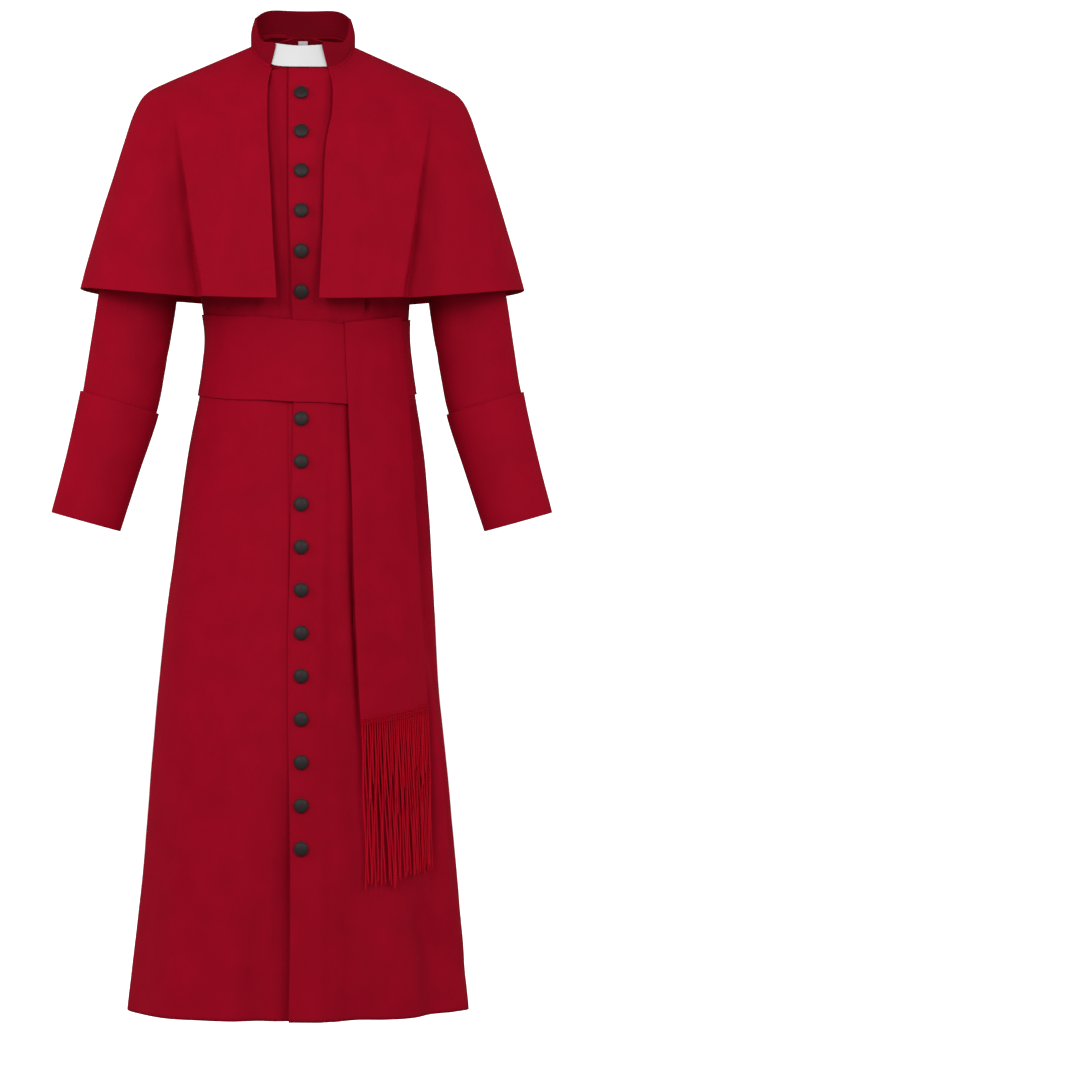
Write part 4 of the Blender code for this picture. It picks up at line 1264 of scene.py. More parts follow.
# ---------------------------------------------------------------- cape and collar
def cape_ring_point(ring, angle, out=0.0):
    """A point of a ring that dips from one side to the other, as the cape's and the collar's do."""
    turn = radians(angle)
    power = 2 / ring.square
    depth = ring.back if abs(angle) > 90 else ring.front
    middle_z = ring.back_z if abs(angle) > 90 else ring.front_z
    across = abs(sin(turn)) ** power
    along = abs(cos(turn)) ** power
    side = 1 if sin(turn) >= 0 else -1
    forward = -1 if cos(turn) >= 0 else 1
    facing = Vector((side * across / ring.half_width, forward * along / depth, 0)).normalized()
    place = Vector((
        side * across * ring.half_width,
        forward * along * depth,
        between(middle_z, ring.side_z, abs(sin(turn)) ** ring.bend),
    ))
    return place + facing * out


def fold_flank(off):
    """1 at a fold's crease, falling evenly at first and then softly, to 0 where off is 1."""
    slope = 2 / (1 + CAPE_FOLD_EVEN)
    if off < CAPE_FOLD_EVEN:
        return 1 - slope * off
    return slope / 2 * max(0.0, 1 - off) ** 2 / (1 - CAPE_FOLD_EVEN)


def cape_fold_reach(angle, row):
    """How far the cape's folds stand out: a sharp flank by the chest, a soft one by the arm."""
    reach = 0.0
    last = len(CAPE) - 1
    for fold in CAPE_FOLDS:
        down = (row - fold.start_ring) / (last - fold.start_ring)
        if down <= 0:
            continue
        swung = 1 - (1 - down) ** CAPE_FOLD_SWING
        middle = between(fold.start_angle, fold.hem_angle, swung)
        off = abs(angle) - abs(middle) if angle * middle > 0 else 180
        if off > 0:
            share = fold_flank(off / fold.arm_width)
        else:
            share = 1 - ease(-off / fold.chest_width)
        reach += fold.depth * ease(down / CAPE_FOLD_FULL_AT) * share
    return reach


def edge_angle(ring, x):
    """The angle at which a ring of the cape or collar stands at x from the middle."""
    return degrees(asin((x / ring.half_width) ** (ring.square / 2)))


def even_angle(ring, column):
    """An angle from 0 at the middle to 90 at the side, evenly spaced along a squarish ring."""
    corner = sin(radians(45)) ** (2 / ring.square)
    if column < FRONT_SHARE:
        return degrees(asin((column / FRONT_SHARE * corner) ** (ring.square / 2)))
    back = (1 - column) / (1 - FRONT_SHARE) * corner
    return 90 - degrees(asin(back ** (ring.square / 2)))


def column_of(ring, angle):
    """Where an angle stands among the evenly spaced columns of a ring."""
    corner = sin(radians(45)) ** (2 / ring.square)
    return sin(radians(angle)) ** (2 / ring.square) / corner * FRONT_SHARE


def cape_hem_groove(row):
    """The hem's line of stitching."""
    from_hem = (len(CAPE) - 1 - row) * CAPE_HEM_RINGS_APART
    return stitched(from_hem - CAPE_HEM_STITCH)


def cape_front_point(side, column, row):
    """A point of a cape front: column is 0 at its free edge and 1 at its side seam."""
    ring = smooth_row(CAPE, row)
    edges = smooth_row(CAPE_EDGES, row)
    edge = edges.left if side > 0 else edges.right
    first = column_of(ring, edge_angle(ring, edge))
    local = even_angle(ring, between(first, 1.0, column))
    angle = side * local
    plain = cape_ring_point(ring, angle)
    shifted = 0 if side > 0 else CAPE_FRONTS_APART
    out = cape_fold_reach(angle, row) + swell(plain, CAPE_SWELL)
    relief = creased(CAPE_FRONT_CREASES, abs(plain.x) + shifted, plain.z - shifted)
    out += relief * seam_calm(local)
    out += stitched(abs(plain.x) - edge - CAPE_STITCH) + cape_hem_groove(row)
    place = cape_ring_point(ring, angle, out)
    place.y -= SEAM_GAP / 2
    return place


def cape_back_point(column, row):
    """column is -1 at the right side seam, 0 at the middle of the back and 1 at the left one."""
    ring = smooth_row(CAPE, row)
    local = even_angle(ring, abs(column))
    angle = (180 - local) * (1 if column >= 0 else -1)
    plain = cape_ring_point(ring, angle)
    out = cape_fold_reach(angle, row) + swell(plain, CAPE_SWELL) + cape_hem_groove(row)
    deeper = 1 + CAPE_BACK_DEEPER * ease((CAPE_DEEPENS_FROM - plain.z) / CAPE_DEEPENS_OVER)
    out += creased(CAPE_BACK_CREASES, plain.x, plain.z) * deeper * seam_calm(local)
    place = cape_ring_point(ring, angle, out)
    place.y += SEAM_GAP / 2
    return place


def cape_rows():
    """Places along the cape's rings, whose rows lie furthest apart at the side or in front."""
    spans = [
        max(abs(a.half_width - b.half_width), abs(a.side_z - b.side_z), abs(a.front_z - b.front_z))
        for a, b in zip(CAPE, CAPE[1:])
    ]
    return row_places(spans, CAPE_STEP)


def make_cape_front(name, side):
    columns = steps(0, 1, CAPE_COLUMN_STEP / CAPE_FRONT_WIDTH)
    shape = lay_sheet(
        columns, cape_rows(), lambda c, r: cape_front_point(side, c, r), turned=side > 0
    )
    thing = put_in_scene(f"{name}.cloth", shape, woven_cloth())
    return thicken(thing, sizes().cloth, rounding=TURNED_EDGE)


def make_cape_back():
    columns = steps(-1, 1, CAPE_STEP / CAPE_BACK_HALF_WIDTH)
    shape = lay_sheet(columns, cape_rows(), cape_back_point)
    thing = put_in_scene("cape_back.cloth", shape, woven_cloth())
    return thicken(thing, sizes().cloth, rounding=TURNED_EDGE)


def collar_end_angle(ring, end, share, tuck=0.0):
    """The angle of one of the collar's front ends at a share of its height, tucked further round."""
    return edge_angle(ring, between(end.seam, end.top, share) + tuck)


def collar_point(column, share):
    """The collar runs from its left front end round the back of the neck to its right one."""
    ring = smooth_row(COLLAR, share * (len(COLLAR) - 1))
    above = max(0.0, COLLAR_CORNER - (1 - share) * COLLAR_HEIGHT) / COLLAR_CORNER
    rounded = COLLAR_CORNER * (1 - (1 - above * above) ** 0.5)
    first = collar_end_angle(ring, COLLAR_LEFT_END, share, rounded)
    last = 360 - collar_end_angle(ring, COLLAR_RIGHT_END, share, rounded)
    angle = between(first, last, column)
    plump = COLLAR_PLUMPNESS * sin(pi * share)
    if 90 < angle < 270:
        ring = ring._replace(bend=COLLAR_BACK_BEND)
        plump -= COLLAR_SEAM_ROLL * bell((share - COLLAR_SEAM_ROLL_AT) / COLLAR_SEAM_ROLL_WIDTH)
    if angle > 180:
        angle -= 360
    plain = cape_ring_point(ring, angle)
    return cape_ring_point(ring, angle, plump + COLLAR_SWELL * swell(plain))


def tab_point(column, share):
    """The tab lies just inside the collar's ends, with its foot over the fronts' neckline."""
    arch = 1 - (2 * column - 1) ** 2
    inwards = TAB_BULGE * arch - TAB_SET_BACK
    ring = smooth_row(COLLAR, share * (len(COLLAR) - 1))
    first = -collar_end_angle(ring, COLLAR_RIGHT_END, share, TAB_TUCK)
    last = collar_end_angle(ring, COLLAR_LEFT_END, share, TAB_TUCK)
    angle = between(first, last, column)
    place = cape_ring_point(ring, angle, inwards)
    foot, top = (
        between(edge.right, edge.left, column) + edge.dip * arch * arch for edge in (TAB_FOOT, TAB_TOP)
    )
    place.z -= between(foot, top, share)
    return place


def label_point(column, share):
    """A bare label on the inside of the back neck, just under the collar's seam."""
    upper = row_point(BODICE_BACK[NECK_ROW], 0)
    lower = row_point(BODICE_BACK[NECK_ROW + 1], 0)
    along = (lower - upper).normalized()
    outwards = Vector((0, -along.z, along.y))
    place = upper + along * (LABEL_BELOW_EDGE + LABEL_HEIGHT * share)
    place -= outwards * (sizes().cloth / MM + LAYER_GAP + sin(pi * share) * LABEL_BULGE)
    return place + Vector((LABEL_HALF_WIDTH * (2 * column - 1), 0, 0))


def make_collar():
    """The stiffened collar, its cloth darkened and its inside darker still as painted shade, with a strip
    of the plain cloth along its seam.
    """
    columns = steps(0, 1, COLLAR_STEP / COLLAR_GIRTH)
    rows = steps(-COLLAR_SEAM_ALLOWANCE, 1, COLLAR_ROW_STEP / COLLAR_HEIGHT)
    shape = lay_sheet(columns, rows, collar_point)
    pattern = shape.loops.layers.uv["weave"]
    for face in shape.faces:
        if max(loop[pattern].uv.y for loop in face.loops) < COLLAR_SEAM_STRIP * MM:
            face.material_index = 2
    thing = put_in_scene("collar.band", shape, collar_cloth_painted_shade())
    thicken(thing, sizes().collar, rounding=COLLAR_ROUNDING, inner_painted_shade=neck_inside_painted_shade())
    thing.data.materials.append(woven_cloth())
    return thing


def make_tab():
    shape = lay_sheet(steps(0, 1, 1 / TAB_COLUMNS), steps(0, 1, 1 / TAB_ROWS), tab_point)
    thing = put_in_scene("collar_tab.stock", shape, white_stock())
    return thicken(thing, TAB_CLOTH * MM, rounding=TAB_ROUNDING)


def make_label():
    shape = lay_sheet(steps(0, 1, 1 / LABEL_COLUMNS), steps(0, 1, 1 / LABEL_ROWS), label_point)
    return thicken(put_in_scene("neck_label.stock", shape, white_stock()), LABEL_CLOTH * MM)


# ---------------------------------------------------------------- sash and its hanging end
def sash_edges(angle):
    """The heights of the sash's top and bottom edge at this angle."""
    angle = (angle + 180) % 360 - 180
    after = next(i for i, edge in enumerate(SASH) if edge.angle > angle)
    first, second = SASH[after - 1], SASH[after]
    share = ease((angle - first.angle) / (second.angle - first.angle))
    return between(first.top, second.top, share), between(first.bottom, second.bottom, share)


SASH_GIRTH = 900.0
SASH_HEIGHT = 118.0
SASH_BRIDGES_LEFT = 65.0
SASH_BRIDGES_RIGHT = 75.0
# A sash is held taut, so it takes only a share of the cloth's relief, and no deep troughs.
SASH_CREASE_SHARE = 0.9
SASH_DEEPEST_CREASE = -0.3
SASH_SWELL = 0.35


def sash_out(angle):
    """How far the sash's outer face stands off the body: it bridges the fronts' lap beneath it."""
    if abs(angle) >= 90:
        return SASH_LIFT
    x = WAIST.half_width * sin(radians(angle))
    if x > 0:
        away = (x - LAP_FLAT_TO) / (SASH_BRIDGES_LEFT - LAP_FLAT_TO)
    else:
        away = (-x - PLACKET_EDGE_TOP) / (SASH_BRIDGES_RIGHT - PLACKET_EDGE_TOP)
    return SASH_LIFT + LAP_LIFT * (1 - ease(away))


def sash_point(angle, share):
    """A point of the sash, round from the front middle, with share 0 at its top and 1 at its foot."""
    top, bottom = sash_edges(angle)
    z = between(top, bottom, share)
    plain = body_point(angle, z)
    wrapped = SASH_CREASES if abs(angle) <= 90 else SASH_BACK_CREASES
    out = max(SASH_DEEPEST_CREASE, SASH_CREASE_SHARE * creased(wrapped, plain.x, z))
    out += stitched((z - bottom) - SASH_STITCH) + stitched((top - z) - SASH_STITCH)
    return body_point(angle, z, sash_out(angle) + out + SASH_SWELL * swell(plain))


def tail_point(across, along, out=0.0):
    """A point of the hanging end: across from its inner edge to its outer one, along its rows."""
    row = smooth_row(TAIL, along)
    z = between(row.left_z, row.right_z, across)
    first = body_angle(row.left_x, row.left_z, row.left_off)
    last = body_angle(row.right_x, row.right_z, row.right_off)
    off = between(row.left_off, row.right_off, across) + out
    return body_point(between(first, last, across), z, off)


# The tail goes this far above its first row, then rolls in over the sash's edge with this radius.
TAIL_ABOVE = 3.0
TAIL_RISE_ROWS = 2
TAIL_ROLL = 5.0
TAIL_ROLL_ROWS = 6
TAIL_WIDTH = 96.0
TAIL_SWELL = 0.5


def tail_sheet_point(across, along):
    """The tail with its creases. Before its first row it goes up and rolls in over the sash's edge."""
    below = max(along, 0.0)
    rise = min(1.0, max(-along, 0.0)) * TAIL_ABOVE
    roll = max(0.0, -along - 1) * pi / 2
    drop = TAIL[0].left_z - smooth_row(TAIL, below).left_z
    out = creased(TAIL_CREASES, across * TAIL_WIDTH, -drop) * ease(below)
    out -= TAIL_ROLL * (1 - cos(roll))
    edge = min(across, 1 - across) * TAIL_WIDTH
    out += stitched(edge - SASH_STITCH)
    place = tail_point(across, below, out + TAIL_SWELL * swell(tail_point(across, below)))
    place.z += rise + TAIL_ROLL * sin(roll)
    return place


def make_sash():
    columns = steps(-180, 180, 360 * SASH_STEP / SASH_GIRTH)
    rows = steps(0, 1, SASH_ROW_STEP / SASH_HEIGHT)
    shape = lay_sheet(columns, rows, sash_point, closed=True, turned=True)
    return thicken(put_in_scene("sash.band", shape, woven_cloth()), sizes().cloth, rounding=TURNED_EDGE)


def make_tail():
    """The sash's hanging end, with closer rows where it rolls in over the sash's upper edge."""
    columns = steps(0, 1, TAIL_STEP / TAIL_WIDTH)
    rolled = steps(-2, -1, 1 / TAIL_ROLL_ROWS)[:-1] + steps(-1, 0, 1 / TAIL_RISE_ROWS)[:-1]
    spans = [a.left_z - b.left_z for a, b in zip(TAIL, TAIL[1:])]
    rows = rolled + row_places(spans, TAIL_ROW_STEP)
    shape = lay_sheet(columns, rows, tail_sheet_point, turned=True)
    thing = put_in_scene("sash_tail.cloth", shape, woven_cloth())
    return thicken(thing, sizes().cloth, rounding=TURNED_EDGE)


# ---------------------------------------------------------------- fringe
FRINGE_DEPTH = 1.8
FRINGE_HEADING_UP = 6.0
FRINGE_HEADING_DOWN = 4.0
FRINGE_LEAN = 0.018
FRINGE_SPREAD = 0.032
# Each layer stands this far in front of or behind the middle of the fringe.
LAYER_LIFT = 1.5
CORD_SIDES = 6
CORD_STEP = 3.0
# A cord starts this far below its heading's top, and narrows to this share where it is cut.
CORD_STARTS_BELOW = 1.5
CORD_END_SHARE = 0.55
# A turn of ply on the cord, how often the pattern repeats in it, and the shift from cord to cord.
PLY_TURN = 3.4
PLY_REPEATS = 5
PLY_STAGGER = 0.37
# A cord sways sideways, in shares of the cords' pitch, and in depth. Each has its own phase, and
# both grow to their full size over a share of the fringe's length: a third, and a quarter.
WAVE_LENGTH = 150.0
CORD_SWAY = 0.22
SWAY_GROWS = 3
SWAY_PHASE = 2.3
CORD_DEPTH_SWAY = 0.8
DEPTH_SWAY_GROWS = 4
DEPTH_SWAY_PHASE = 1.3
DEPTH_SWAY_RATE = 0.6
# Multiples of this share spread evenly, so neighbouring cords are cut at unlike lengths.
GOLDEN = 0.618
# The two layers: how far each stands out, how long and how unevenly its cords are cut.
Layer = namedtuple("Layer", "out reach uneven phase")
FRONT_CORDS_UNEVEN = 66.0
BACK_CORDS_UNEVEN = 14.0
BACK_CORDS_PHASE = 0.35
# Cords gather in locks towards their ends: how many cords, how far each lock leans, how tightly
# it closes up, and how much shorter it was cut. They gather below this share of their length.
Lock = namedtuple("Lock", "cords lean tight shorter")
LOCKS = table(Lock, [
    (4, 0.4, 0.12, 0), (6, -0.3, 0.18, 3), (3, 0.2, 0.08, 1), (7, 0.5, 0.20, 0),
    (4, -0.5, 0.16, 4), (5, 0.1, 0.15, 8), (3, -0.2, 0.10, 7), (6, 0.4, 0.22, 6),
    (4, -0.4, 0.14, 10), (5, 0.3, 0.18, 8), (4, -0.1, 0.15, 12), (5, -0.5, 0.18, 11),
])
LOCKS_FROM = 0.25


def lock_of(strand, count):
    """The lock that a cord belongs to and where the lock's middle is, in cords."""
    total = sum(lock.cords for lock in LOCKS)
    place = strand * total / count
    passed = 0
    for lock in LOCKS:
        if place < passed + lock.cords:
            return lock, (passed + (lock.cords - 1) / 2) * count / total
        passed += lock.cords
    return LOCKS[-1], float(count - 1)


def bottom_point(across, drop, out):
    """A point of the fringe, drop below the tail's end. It hangs down straight but for a slight lean."""
    end = TAIL[-1]
    row_z = between(end.left_z, end.right_z, across) - drop
    off = between(end.left_off, end.right_off, across) + out
    lean = FRINGE_LEAN * max(0.0, drop)
    first = body_angle(end.left_x + lean, row_z, off)
    last = body_angle(end.right_x + lean + FRINGE_SPREAD * max(0.0, drop), row_z, off)
    return body_point(between(first, last, across), row_z, off)


def cord_path(strand, count, layer):
    """The middle line of a hanging cord, from inside the heading down to its cut end."""
    out, reach, phase = layer.out, layer.reach, layer.phase
    lock, middle = lock_of(strand, count)
    end = reach - lock.shorter - layer.uneven * ((GOLDEN * strand * strand + phase) % 1.0)
    path = []
    for drop in steps(CORD_STARTS_BELOW - FRINGE_HEADING_UP, end, CORD_STEP):
        down = max(0.0, drop) / reach
        gather = ease((down - LOCKS_FROM) / (1 - LOCKS_FROM))
        wave = drop / WAVE_LENGTH * 2 * pi
        place = strand + 0.5 + gather * ((middle - strand) * lock.tight + lock.lean)
        place += CORD_SWAY * ease(down * SWAY_GROWS) * sin(SWAY_PHASE * strand + phase + wave)
        turn = DEPTH_SWAY_PHASE * strand + phase + DEPTH_SWAY_RATE * wave
        depth = out + CORD_DEPTH_SWAY * ease(down * DEPTH_SWAY_GROWS) * sin(turn)
        path.append(bottom_point(place / count, drop, depth))
    return path


def make_cord_mesh(paths, radius):
    """Cords along their paths, each with its own turns of ply on its UV map."""
    shape = bmesh.new()
    pattern = shape.loops.layers.uv.new("weave")
    for number, path in enumerate(paths):
        made = bmesh.ops.create_grid(
            shape, x_segments=CORD_SIDES, y_segments=len(path) - 1, size=1.0
        )
        last = len(path) - 1
        frames = []
        for i, place in enumerate(path):
            ahead = (path[min(i + 1, last)] - path[max(i - 1, 0)]).normalized()
            frames.append(ahead.to_track_quat("Z", "Y"))
        faces = set()
        spots = {}
        for vert in made["verts"]:
            i = round((vert.co.x + 1) / 2 * CORD_SIDES)
            j = round((vert.co.y + 1) / 2 * last)
            spots[vert] = (i, j)
            faces.update(vert.link_faces)
        for vert, (i, j) in spots.items():
            turn = 2 * pi * (i % CORD_SIDES) / CORD_SIDES
            closing = CORD_END_SHARE if j == last else 1.0
            vert.co = path[j] + frames[j] @ Vector((cos(turn), sin(turn), 0)) * radius * closing
        for face in faces:
            for loop in face.loops:
                i, j = spots[loop.vert]
                twist = j * CORD_STEP / PLY_TURN * PLY_REPEATS + number * PLY_STAGGER
                loop[pattern].uv = (i / CORD_SIDES * PLY_REPEATS, twist)
        bmesh.ops.remove_doubles(shape, verts=list(spots), dist=WELD)
    open_ends = [edge for edge in shape.edges if edge.is_boundary]
    bmesh.ops.holes_fill(shape, edges=open_ends, sides=CORD_SIDES)
    bmesh.ops.recalc_face_normals(shape, faces=shape.faces)
    return shape


# The gimp heading's rows of loops: each row's top above the tail's end, and where its loops start.
LoopRow = namedtuple("LoopRow", "top phase")
LOOP_ROWS = table(LoopRow, [(5.6, 0.0), (0.6, pi)])
LOOP_POINTS = 6
LOOP_HEIGHT = 1.5
LOOP_OUT = 1.3
LOOP_SWAY = 0.22
LOOP_BULGE = 0.5
# The cords that bind the loops: how far below the tail's end each one runs, and how it wavers.
BINDING_DROPS = (-2.8, 2.5)
BINDING_POINTS = 2
BINDING_SWAY = 0.3
BINDING_RATE = 1.9
# The heading's cords are this share as thick as the hanging ones.
HEADING_CORD_SHARE = 0.62
HEADING_COLUMNS = 40
HEADING_ROW_STEP = 2.5
HEADING_THICKNESS_SHARE = 0.6


def heading_paths(count, out):
    """The gimp heading: rows of small loops, one to a cord, and straight cords that bind them."""
    paths = []
    for row in LOOP_ROWS:
        path = []
        for i in range(count * LOOP_POINTS + 1):
            turn = i / LOOP_POINTS * 2 * pi + row.phase
            across = (i / LOOP_POINTS + LOOP_SWAY * sin(turn)) / count
            drop = LOOP_HEIGHT * (1 - cos(turn)) / 2 - row.top
            bulge = out + LOOP_OUT + LOOP_BULGE * cos(turn)
            path.append(bottom_point(min(1.0, max(0.0, across)), drop, bulge))
        paths.append(path)
    points = count * BINDING_POINTS
    for drop in BINDING_DROPS:
        paths.append([
            bottom_point(i / points, drop + BINDING_SWAY * sin(i * BINDING_RATE), out + LOOP_OUT)
            for i in range(points + 1)
        ])
    return paths


def heading_strip(out):
    """The narrow strip that the cords are fixed to."""
    columns = steps(0, 1, 1 / HEADING_COLUMNS)
    rows = steps(-FRINGE_HEADING_UP, FRINGE_HEADING_DOWN, HEADING_ROW_STEP)
    strip = lay_sheet(columns, rows, lambda c, r: bottom_point(c, r, out), turned=True)
    thickness = FRINGE_DEPTH * HEADING_THICKNESS_SHARE
    bmesh.ops.solidify(strip, geom=strip.faces[:], thickness=thickness)
    return strip


def make_fringe(name, layer):
    """One layer of the fringe: its hanging cords, its gimp heading and the strip behind them."""
    count = sizes().cords
    radius = sizes().cord / MM / 2
    paths = [cord_path(strand, count, layer) for strand in range(count)]
    shape = make_cord_mesh(paths, radius)
    heading = heading_paths(count, layer.out)
    add_shape(shape, make_cord_mesh(heading, radius * HEADING_CORD_SHARE))
    add_shape(shape, heading_strip(layer.out))
    return put_in_scene(f"{name}.cords", shape, twisted_cord())


# ---------------------------------------------------------------- buttons
BUTTON_LINE = -2.6
BUTTON_SEGMENTS = 40
BUTTON_WELD = 0.0001
ButtonRun = namedtuple("ButtonRun", "count first_z pitch")
BUTTON_RUNS = table(ButtonRun, [(6, -79.0, -58.4), (11, -555.0, -62.0)])
# A covered button's outline from its back to its crown, as shares of its radius.
ButtonRing = namedtuple("ButtonRing", "radius height")
BUTTON_OUTLINE = table(ButtonRing, [
    (0.0, 0.02),
    (0.70, 0.02),
    (0.86, 0.05),
    (0.95, 0.11),
    (0.995, 0.19),
    (0.99, 0.27),
    (0.955, 0.345),
    (0.88, 0.41),
    (0.76, 0.465),
    (0.60, 0.515),
    (0.42, 0.548),
    (0.22, 0.570),
    (0.0, 0.578),
])


def front_at(z):
    """How far forward the lapping front's outer face stands at the button line."""
    rows = FRONT_ROWS[NECK_ROW:]
    below = next(i for i, row in enumerate(rows) if row.start_z <= z)
    upper, lower = rows[below - 1], rows[below]
    share = (z - upper.start_z) / (lower.start_z - upper.start_z)
    row = smooth_row(FRONT_ROWS, NECK_ROW + below - 1 + share)
    fold = fold_reach(0, z) if z < BODY[0].z else 0.0
    return row.start_y - LAP_LIFT - SEAM_GAP / 2 - fold


def make_button(name, z):
    """A domed button that faces the way the cloth does at its height."""
    radius = sizes().button / MM / 2
    y_above, y_below, y_here = front_at(z + radius), front_at(z - radius), front_at(z)
    seat = min(y_here, (y_above + y_below) / 2) - LAYER_GAP
    lean = atan2(y_below - y_above, 2 * radius)
    shape = bmesh.new()
    outline = [
        shape.verts.new((ring.radius * radius, 0, ring.height * radius)) for ring in BUTTON_OUTLINE
    ]
    edges = [shape.edges.new(pair) for pair in zip(outline, outline[1:])]
    bmesh.ops.spin(
        shape, geom=outline + edges, angle=2 * pi, steps=BUTTON_SEGMENTS, use_merge=True,
        axis=(0, 0, 1), cent=(0, 0, 0),
    )
    bmesh.ops.remove_doubles(shape, verts=shape.verts, dist=BUTTON_WELD)
    bmesh.ops.recalc_face_normals(shape, faces=shape.faces)
    stand = Matrix.Rotation(radians(90) + lean, 4, "X")
    bmesh.ops.transform(shape, matrix=stand, verts=shape.verts)
    bmesh.ops.translate(shape, vec=(BUTTON_LINE, seat, z), verts=shape.verts)
    return put_in_scene(name, shape, covered_button())


# ---------------------------------------------------------------- stage
# The stage's lengths are in metres, and its camera's lens and sensor in millimetres.
CAMERA_BACK = 5.2
CAMERA_HEIGHT = -0.731
CAMERA_YAW = -3.876
CAMERA_LENS = 116.6
CAMERA_SENSOR = 36.0
CAMERA_SEES_TO = 120.0
FLOOR_BELOW_HEM = 0.25
FLOOR_HALF_WIDTH = 40.0
FLOOR_GLOW = 0.6
BACKDROP_RADIUS = 60.0
BACKDROP_SEGMENTS = 48
WORLD_STRENGTH = 0.54

StudioLight = namedtuple("StudioLight", "name x y z size strength glossy")
LIGHTS = table(StudioLight, [
    ("key softbox", -1.15, -2.85, 0.45, 1.1, 35, True),
    ("fill softbox", 1.4, -2.85, 0.45, 1.3, 33, True),
    ("right side softbox", -2.9, -1.05, 0.5, 1.3, 44, False),
    ("left side softbox", 2.9, -1.05, 0.5, 1.3, 25, False),
    ("back left softbox", 2.2, 3.8, 0.8, 1.8, 80, False),
    ("back right softbox", -2.4, 3.6, 0.4, 1.8, 60, False),
])
LIGHT_TARGET = Vector((0, 0, -0.65))


def glow(shader, strength):
    shader.inputs["Emission Color"].default_value = (1, 1, 1, 1)
    shader.inputs["Emission Strength"].default_value = strength


def seen_only(thing):
    """Keeps a stage piece from throwing its own light or shade on the garment."""
    thing.visible_diffuse = False
    thing.visible_glossy = False
    thing.visible_transmission = False
    thing.visible_shadow = False
    return thing


def make_floor():
    """A wide plain floor below the hem."""
    pale = tuple(colours().floor)
    material, shader = new_material("pale studio floor", pale, roughness=0.9, specular=0.1)
    glow(shader, FLOOR_GLOW)
    shape = bmesh.new()
    bmesh.ops.create_grid(shape, x_segments=1, y_segments=1, size=FLOOR_HALF_WIDTH)
    bmesh.ops.translate(shape, vec=(0, 0, HEM.z * MM - FLOOR_BELOW_HEM), verts=shape.verts)
    return seen_only(new_thing("studio floor", shape, material))


def make_backdrop():
    """A plain white cyclorama all round, far off."""
    material, shader = new_material("white cyclorama", (1, 1, 1), roughness=1.0, specular=0.0)
    glow(shader, 1.0)
    shape = bmesh.new()
    bmesh.ops.create_uvsphere(
        shape, u_segments=BACKDROP_SEGMENTS, v_segments=BACKDROP_SEGMENTS // 2,
        radius=BACKDROP_RADIUS,
    )
    return seen_only(new_thing("white backdrop", shape, material))


def add_light(light):
    lamp = bpy.data.lights.new(light.name, "AREA")
    lamp.shape = "SQUARE"
    lamp.size = light.size
    lamp.energy = light.strength
    thing = bpy.data.objects.new(light.name, lamp)
    thing.location = (light.x, light.y, light.z)
    aim = LIGHT_TARGET - thing.location
    thing.rotation_euler = aim.to_track_quat("-Z", "Y").to_euler()
    # Only the front softboxes give gloss: any other would draw a pale rim round the cloth.
    thing.visible_glossy = light.glossy
    bpy.context.scene.collection.objects.link(thing)
    return thing


def add_camera():
    lens = bpy.data.cameras.new("front camera")
    lens.sensor_width = CAMERA_SENSOR
    lens.lens = CAMERA_LENS
    lens.clip_end = CAMERA_SEES_TO
    camera = bpy.data.objects.new("front camera", lens)
    camera.location = (0, -CAMERA_BACK, CAMERA_HEIGHT)
    camera.rotation_euler = (pi / 2, 0, radians(CAMERA_YAW))
    bpy.context.scene.collection.objects.link(camera)
    bpy.context.scene.camera = camera
    return camera


def light_the_room():
    """White light from all round, which gives the cloth no gloss."""
    world = bpy.data.worlds.new("soft white room")
    world.use_nodes = True
    world.node_tree.nodes["Background"].inputs["Color"].default_value = (1, 1, 1, 1)
    world.node_tree.nodes["Background"].inputs["Strength"].default_value = WORLD_STRENGTH
    world.cycles_visibility.glossy = False
    bpy.context.scene.world = world
    bpy.context.scene.view_settings.view_transform = "Standard"


def make_stage():
    """Returns the floor, the backdrop, the lights and the camera."""
    light_the_room()
    things = [make_floor(), make_backdrop()]
    things += [add_light(light) for light in LIGHTS]
    return things + [add_camera()]


# ---------------------------------------------------------------- operators
# The flat cut of what shows, across and along its grain, in metres.
Cut = namedtuple("Cut", "width length area")


def dress_pair(make, node):
    """Makes the left and the right piece of a hanging pair, and places both."""
    for name, side in ((f"{node}_left", 1), (f"{node}_right", -1)):
        thing = make(name, side)
        place_piece(thing, name)


def dress_one(thing, node):
    """Places a piece of its own."""
    place_piece(thing, node)


class CASSOCK_OT_fronts(bpy.types.Operator):
    """Make the two fronts, the left lapping over the right"""

    bl_idname = "cassock.fronts"
    bl_label = "Fronts"

    def execute(self, context):
        dress_pair(make_front, "front")
        return {"FINISHED"}


class CASSOCK_OT_back(bpy.types.Operator):
    """Make the back, from the shoulders to the hem"""

    bl_idname = "cassock.back"
    bl_label = "Back"

    def execute(self, context):
        dress_one(make_back(), "back")
        return {"FINISHED"}


class CASSOCK_OT_sleeves(bpy.types.Operator):
    """Make the two sleeves"""

    bl_idname = "cassock.sleeves"
    bl_label = "Sleeves"

    def execute(self, context):
        dress_pair(make_sleeve, "sleeve")
        return {"FINISHED"}


class CASSOCK_OT_cuffs(bpy.types.Operator):
    """Make the two turned-back cuffs"""

    bl_idname = "cassock.cuffs"
    bl_label = "Cuffs"

    def execute(self, context):
        dress_pair(make_cuff, "cuff")
        return {"FINISHED"}


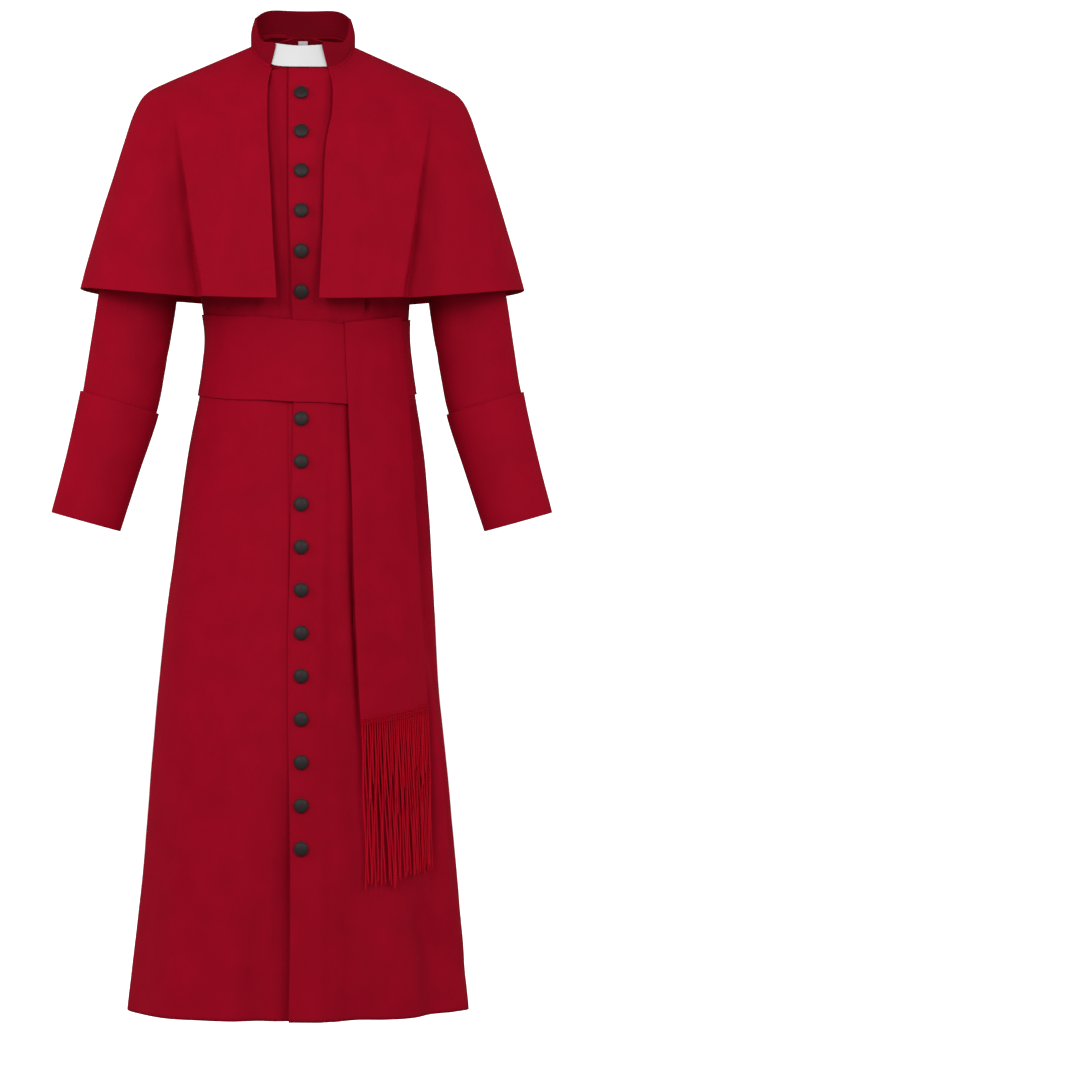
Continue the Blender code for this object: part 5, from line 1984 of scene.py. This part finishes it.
class CASSOCK_OT_cape(bpy.types.Operator):
    """Make the shoulder cape: two fronts and a back"""

    bl_idname = "cassock.cape"
    bl_label = "Shoulder cape"

    def execute(self, context):
        dress_pair(make_cape_front, "cape_front")
        dress_one(make_cape_back(), "cape_back")
        return {"FINISHED"}


class CASSOCK_OT_collar(bpy.types.Operator):
    """Make the standing collar, its white tab and the bare neck label"""

    bl_idname = "cassock.collar"
    bl_label = "Collar and tab"

    def execute(self, context):
        dress_one(make_collar(), "collar")
        dress_one(make_tab(), "collar_tab")
        dress_one(make_label(), "neck_label")
        return {"FINISHED"}


class CASSOCK_OT_sash(bpy.types.Operator):
    """Make the sash round the waist and its hanging end with two layers of fringe"""

    bl_idname = "cassock.sash"
    bl_label = "Sash and fringe"

    def execute(self, context):
        dress_one(make_sash(), "sash")
        tail = make_tail()
        place_piece(tail, "sash_tail")
        middle = -FRINGE_DEPTH / 2
        layers = {
            "fringe_front": Layer(
                middle + LAYER_LIFT, sizes().front_fringe / MM, FRONT_CORDS_UNEVEN, 0.0
            ),
            "fringe_back": Layer(
                middle - LAYER_LIFT, sizes().back_fringe / MM, BACK_CORDS_UNEVEN, BACK_CORDS_PHASE
            ),
        }
        for name, layer in layers.items():
            thing = make_fringe(name, layer)
            place_piece(thing, name)
        return {"FINISHED"}


class CASSOCK_OT_buttons(bpy.types.Operator):
    """Make the seventeen covered buttons down the front"""

    bl_idname = "cassock.buttons"
    bl_label = "Covered buttons"

    def execute(self, context):
        number = 0
        for run in BUTTON_RUNS:
            for i in range(run.count):
                number += 1
                node = f"button_{number:02d}"
                thing = make_button(f"{node}.cover", run.first_z + i * run.pitch)
                place_piece(thing, node)
        return {"FINISHED"}


class CASSOCK_OT_stage(bpy.types.Operator):
    """Make the floor, the lights and the camera"""

    bl_idname = "cassock.stage"
    bl_label = "Stage"

    def execute(self, context):
        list(make_stage())
        return {"FINISHED"}


OPERATORS = (
    CASSOCK_OT_fronts,
    CASSOCK_OT_back,
    CASSOCK_OT_sleeves,
    CASSOCK_OT_cuffs,
    CASSOCK_OT_cape,
    CASSOCK_OT_collar,
    CASSOCK_OT_sash,
    CASSOCK_OT_buttons,
    CASSOCK_OT_stage,
)


class CASSOCK_PT_pieces(bpy.types.Panel):
    """The cassock's sizes, colours and pieces"""

    bl_idname = "CASSOCK_PT_pieces"
    bl_label = "Cassock"
    bl_space_type = "VIEW_3D"
    bl_region_type = "UI"
    bl_category = "Cassock"

    def draw(self, context):
        layout = self.layout
        for group in (context.scene.cassock_sizes, context.scene.cassock_colours):
            column = layout.column()
            for name in group.bl_rna.properties.keys():
                if name not in ("rna_type", "name"):
                    column.prop(group, name)
        for operator in OPERATORS:
            layout.operator(operator.bl_idname)


CLASSES = (CassockSizes, CassockColours, *OPERATORS, CASSOCK_PT_pieces)


def register():
    for cls in CLASSES:
        bpy.utils.register_class(cls)
    bpy.types.Scene.cassock_sizes = PointerProperty(type=CassockSizes)
    bpy.types.Scene.cassock_colours = PointerProperty(type=CassockColours)


def unregister():
    del bpy.types.Scene.cassock_colours
    del bpy.types.Scene.cassock_sizes
    for cls in reversed(CLASSES):
        bpy.utils.unregister_class(cls)


def main():
    register()
    for operator in OPERATORS:
        group, name = operator.bl_idname.split(".")
        done = getattr(getattr(bpy.ops, group), name)()
        if done != {"FINISHED"}:
            raise RuntimeError(f"{operator.bl_label} wasn't made")


if __name__ == "__main__":
    main()
